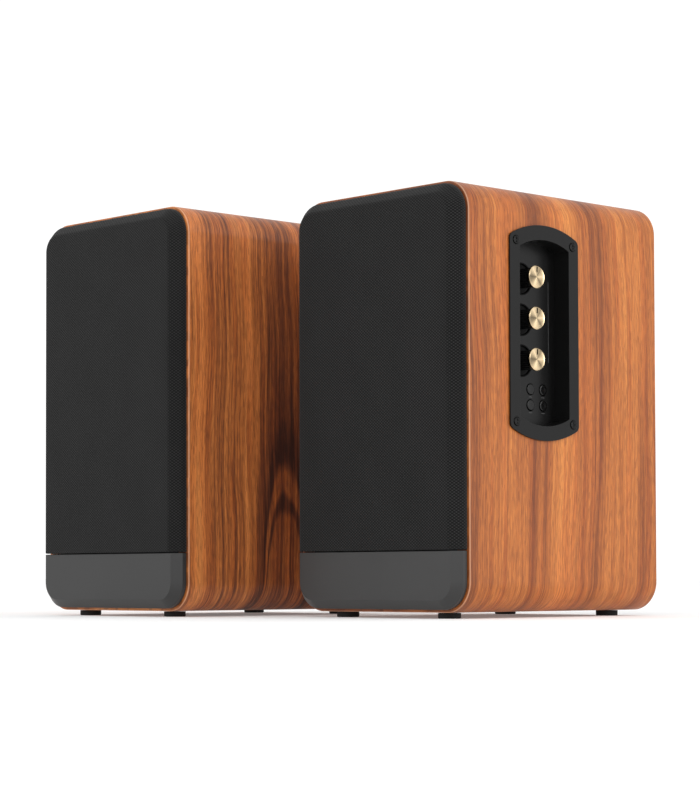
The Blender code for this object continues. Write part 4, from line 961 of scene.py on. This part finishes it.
def make_caps(prefix):
    """The knobs' brass caps, turned on a lathe, with a dark line cut into each one's top."""
    top = CAP_RADIUS - MARK_INSET
    for name, z in zip(("volume", "treble", "bass"), KNOB_Z):
        at = (HALF_WIDTH, KNOB_Y, z)
        cap = piece(f"{prefix}{name}_cap", cap_mesh(), prefix, at, f"{name}_knob",
                    MATERIALS["spun_brass"], smooth=20)
        low = (CAP_PROUD - MARK_DEPTH, -MARK_HALF, top - MARK_LENGTH)
        mark = box_mesh("mark", low, (2 * CAP_PROUD, MARK_HALF, top))
        mark.transform(Matrix.Translation(ORIGIN[prefix] + Vector(at)))
        cut_out(cap, [mark], MATERIALS["gloss_black"])
        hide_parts(f"{prefix}{name}_knob_cap")


def make_buttons(prefix):
    """Low round buttons with soft edges, and the flange that holds each one behind the floor."""
    names = iter(("power", "source", "previous", "next"))
    face, soft = BUTTON_PROUD, BUTTON_SOFT
    front = -RECESS_FLOOR - CLEAR
    flange, back = BUTTON_RADIUS + BUTTON_FLANGE, front - BUTTON_FLANGE
    profile = [(0, back), (flange, back), (flange, front), (BUTTON_RADIUS, front)]
    profile += arc((BUTTON_RADIUS - soft, face - soft), soft, 0, 90, 5)
    profile += [(BUTTON_RADIUS * 0.5, face - BUTTON_RIM_DIP), (0, face - BUTTON_DIP)]
    for z in BUTTON_Z:
        for y in BUTTON_Y:
            name = next(names)
            at = (HALF_WIDTH - RECESS_DEPTH, y, z)
            button = piece(f"{prefix}{name}_button_shape", turned("button", profile, 40), prefix, at,
                           f"{name}_button", MATERIALS["gloss_black"])
            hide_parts(f"{prefix}{name}_button")


def make_sleeves(prefix, body, middles, start):
    """A nickelled sleeve round each phono socket's barrel, rounded at its open end."""
    inner, outer, lip = SLEEVE_INNER, SLEEVE_OUTER, SLEEVE_LIP
    profile = [(inner, SLEEVE_GAP), (outer, SLEEVE_GAP), (outer, SOCKET_LENGTH - lip)]
    profile += [(outer - lip, SOCKET_LENGTH), (inner, SOCKET_LENGTH)]
    for index, x in enumerate(middles):
        sleeve = turned("sleeve", profile, 48, "Y")
        name = f"{prefix}socket_sleeve_{index + 1}"
        at = (x, start, SOCKET_Z)
        piece(name, sleeve, prefix, at, body, MATERIALS["nickel"])


# --- feet, screws and the rest --------------------------------------------------------------------


def make_feet(prefix, body):
    """Round rubber pads, their lower edge softened."""
    for row in ("front", "rear"):
        for side in ("left", "right"):
            node = f"{prefix}foot_{row}_{side}"
            low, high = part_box(node)
            middle = (low + high) / 2 - ORIGIN[prefix]
            radius, rise = (high.x - low.x) / 2, high.z - low.z
            inner = radius - FOOT_SOFT
            profile = [(0, -rise / 2), (inner, -rise / 2)]
            profile += arc((inner, FOOT_SOFT - rise / 2), FOOT_SOFT, -90, 0, 4)[1:]
            profile += [(radius, rise / 2), (0, rise / 2)]
            mesh = turned("foot", profile, 48, "Z")
            foot = piece(node + "_pad", mesh, prefix, middle, body, MATERIALS["rubber"])
            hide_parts(node)


def make_screws(prefix, body):
    """The bezel's four screws: the CAD heads with softened edges."""
    for row in ("top", "bottom"):
        for side in ("front", "rear"):
            node = f"{prefix}bezel_screw_{row}_{side}"
            softened(node, body, MATERIALS["black_steel"], SCREW_EDGE)


def paint_cad_nodes():
    """Every CAD node that still shows gets the finish that the record names for it."""
    slots = {part["node"]: part["material_slot"] for part in frame["record"]["subparts"]}
    for name, node in frame["nodes"].items():
        node.data.materials.clear()
        node.data.materials.append(MATERIALS[slots[name]])


# --- stage ----------------------------------------------------------------------------------------


def make_floor():
    """A plain pale floor that glows a little, so that it is white right up to the shadows."""
    reach = FLOOR_REACH
    corners = [(-reach, -reach, 0), (reach, -reach, 0), (reach, reach, 0), (-reach, reach, 0)]
    mesh = bpy.data.meshes.new("floor")
    mesh.from_pydata(corners, [], [(0, 1, 2, 3)])
    floor = bpy.data.objects.new("floor", mesh)
    bpy.context.scene.collection.objects.link(floor)
    s = Shading("floor", roughness=0.7, specular=0.1)
    tone = s.noise(s.place(), 3, detail=2)
    s.colour(s.ramp(tone, ((0.0, grey(FLOOR_TONES[0])), (1.0, grey(FLOOR_TONES[1])))))
    s.shader.inputs["Emission Color"].default_value = (1, 1, 1, 1)
    s.shader.inputs["Emission Strength"].default_value = FLOOR_GLOW
    mesh.materials.append(s.material)


def make_light(name, place, target, size, power):
    light = bpy.data.lights.new(name, "AREA")
    light.shape = "RECTANGLE"
    light.size, light.size_y = size
    light.energy = power
    obj = bpy.data.objects.new(name, light)
    obj.location = place
    obj.rotation_euler = (Vector(target) - Vector(place)).to_track_quat("-Z", "Y").to_euler()
    bpy.context.scene.collection.objects.link(obj)


def make_world():
    """Even white light from all round; the camera sees it a little brighter, as pure white."""
    world = bpy.data.worlds.new("studio")
    world.use_nodes = True
    bpy.context.scene.world = world
    tree = world.node_tree
    background = tree.nodes["Background"]
    background.inputs["Color"].default_value = (1, 1, 1, 1)
    rays = tree.nodes.new("ShaderNodeLightPath")
    strength = tree.nodes.new("ShaderNodeMix")
    strength.inputs[2].default_value = WORLD_STRENGTH
    strength.inputs[3].default_value = WORLD_SEEN
    tree.links.new(rays.outputs["Is Camera Ray"], strength.inputs[0])
    tree.links.new(strength.outputs[0], background.inputs["Strength"])


def make_camera():
    camera = bpy.data.cameras.new("camera")
    camera.lens = CAMERA_LENS
    camera.sensor_width = CAMERA_SENSOR
    camera.shift_y = CAMERA_SHIFT
    camera.clip_start = 0.01
    camera.clip_end = 100
    obj = bpy.data.objects.new("camera", camera)
    turn = Matrix.Rotation(CAMERA_TURN, 4, "Z") @ Matrix.Rotation(math.pi / 2 + CAMERA_PITCH, 4, "X")
    obj.matrix_world = Matrix.Translation(CAMERA_PLACE) @ turn @ Matrix.Rotation(CAMERA_ROLL, 4, "Z")
    bpy.context.scene.collection.objects.link(obj)
    bpy.context.scene.camera = obj


def make_speaker(prefix, body, wood):
    """What both speakers have."""
    make_cabinet(prefix, body, wood)
    make_cloth(prefix, prefix + "grille")
    make_bar(prefix, body)
    make_feet(prefix, body)
    make_sleeves(prefix, body, SOCKET_X[prefix], SOCKET_START[prefix])


def make_controls(prefix, body):
    """The control panel, which only the active speaker has."""
    make_bezel(prefix, body)
    make_dishes(prefix, body)
    make_screw_seats(prefix, body)
    make_prints(prefix, body)
    make_caps(prefix)
    make_buttons(prefix)
    make_screws(prefix, body)


bpy.context.scene.view_settings.view_transform = "Standard"
make_camera()
make_floor()
make_world()
for light_name, settings in LIGHTS.items():
    make_light(light_name, *settings)
paint_cad_nodes()
make_speaker("active_", "active_speaker", RIGHT_WOOD)
make_speaker("passive_", "passive_speaker", LEFT_WOOD)
make_controls("active_", "active_speaker")
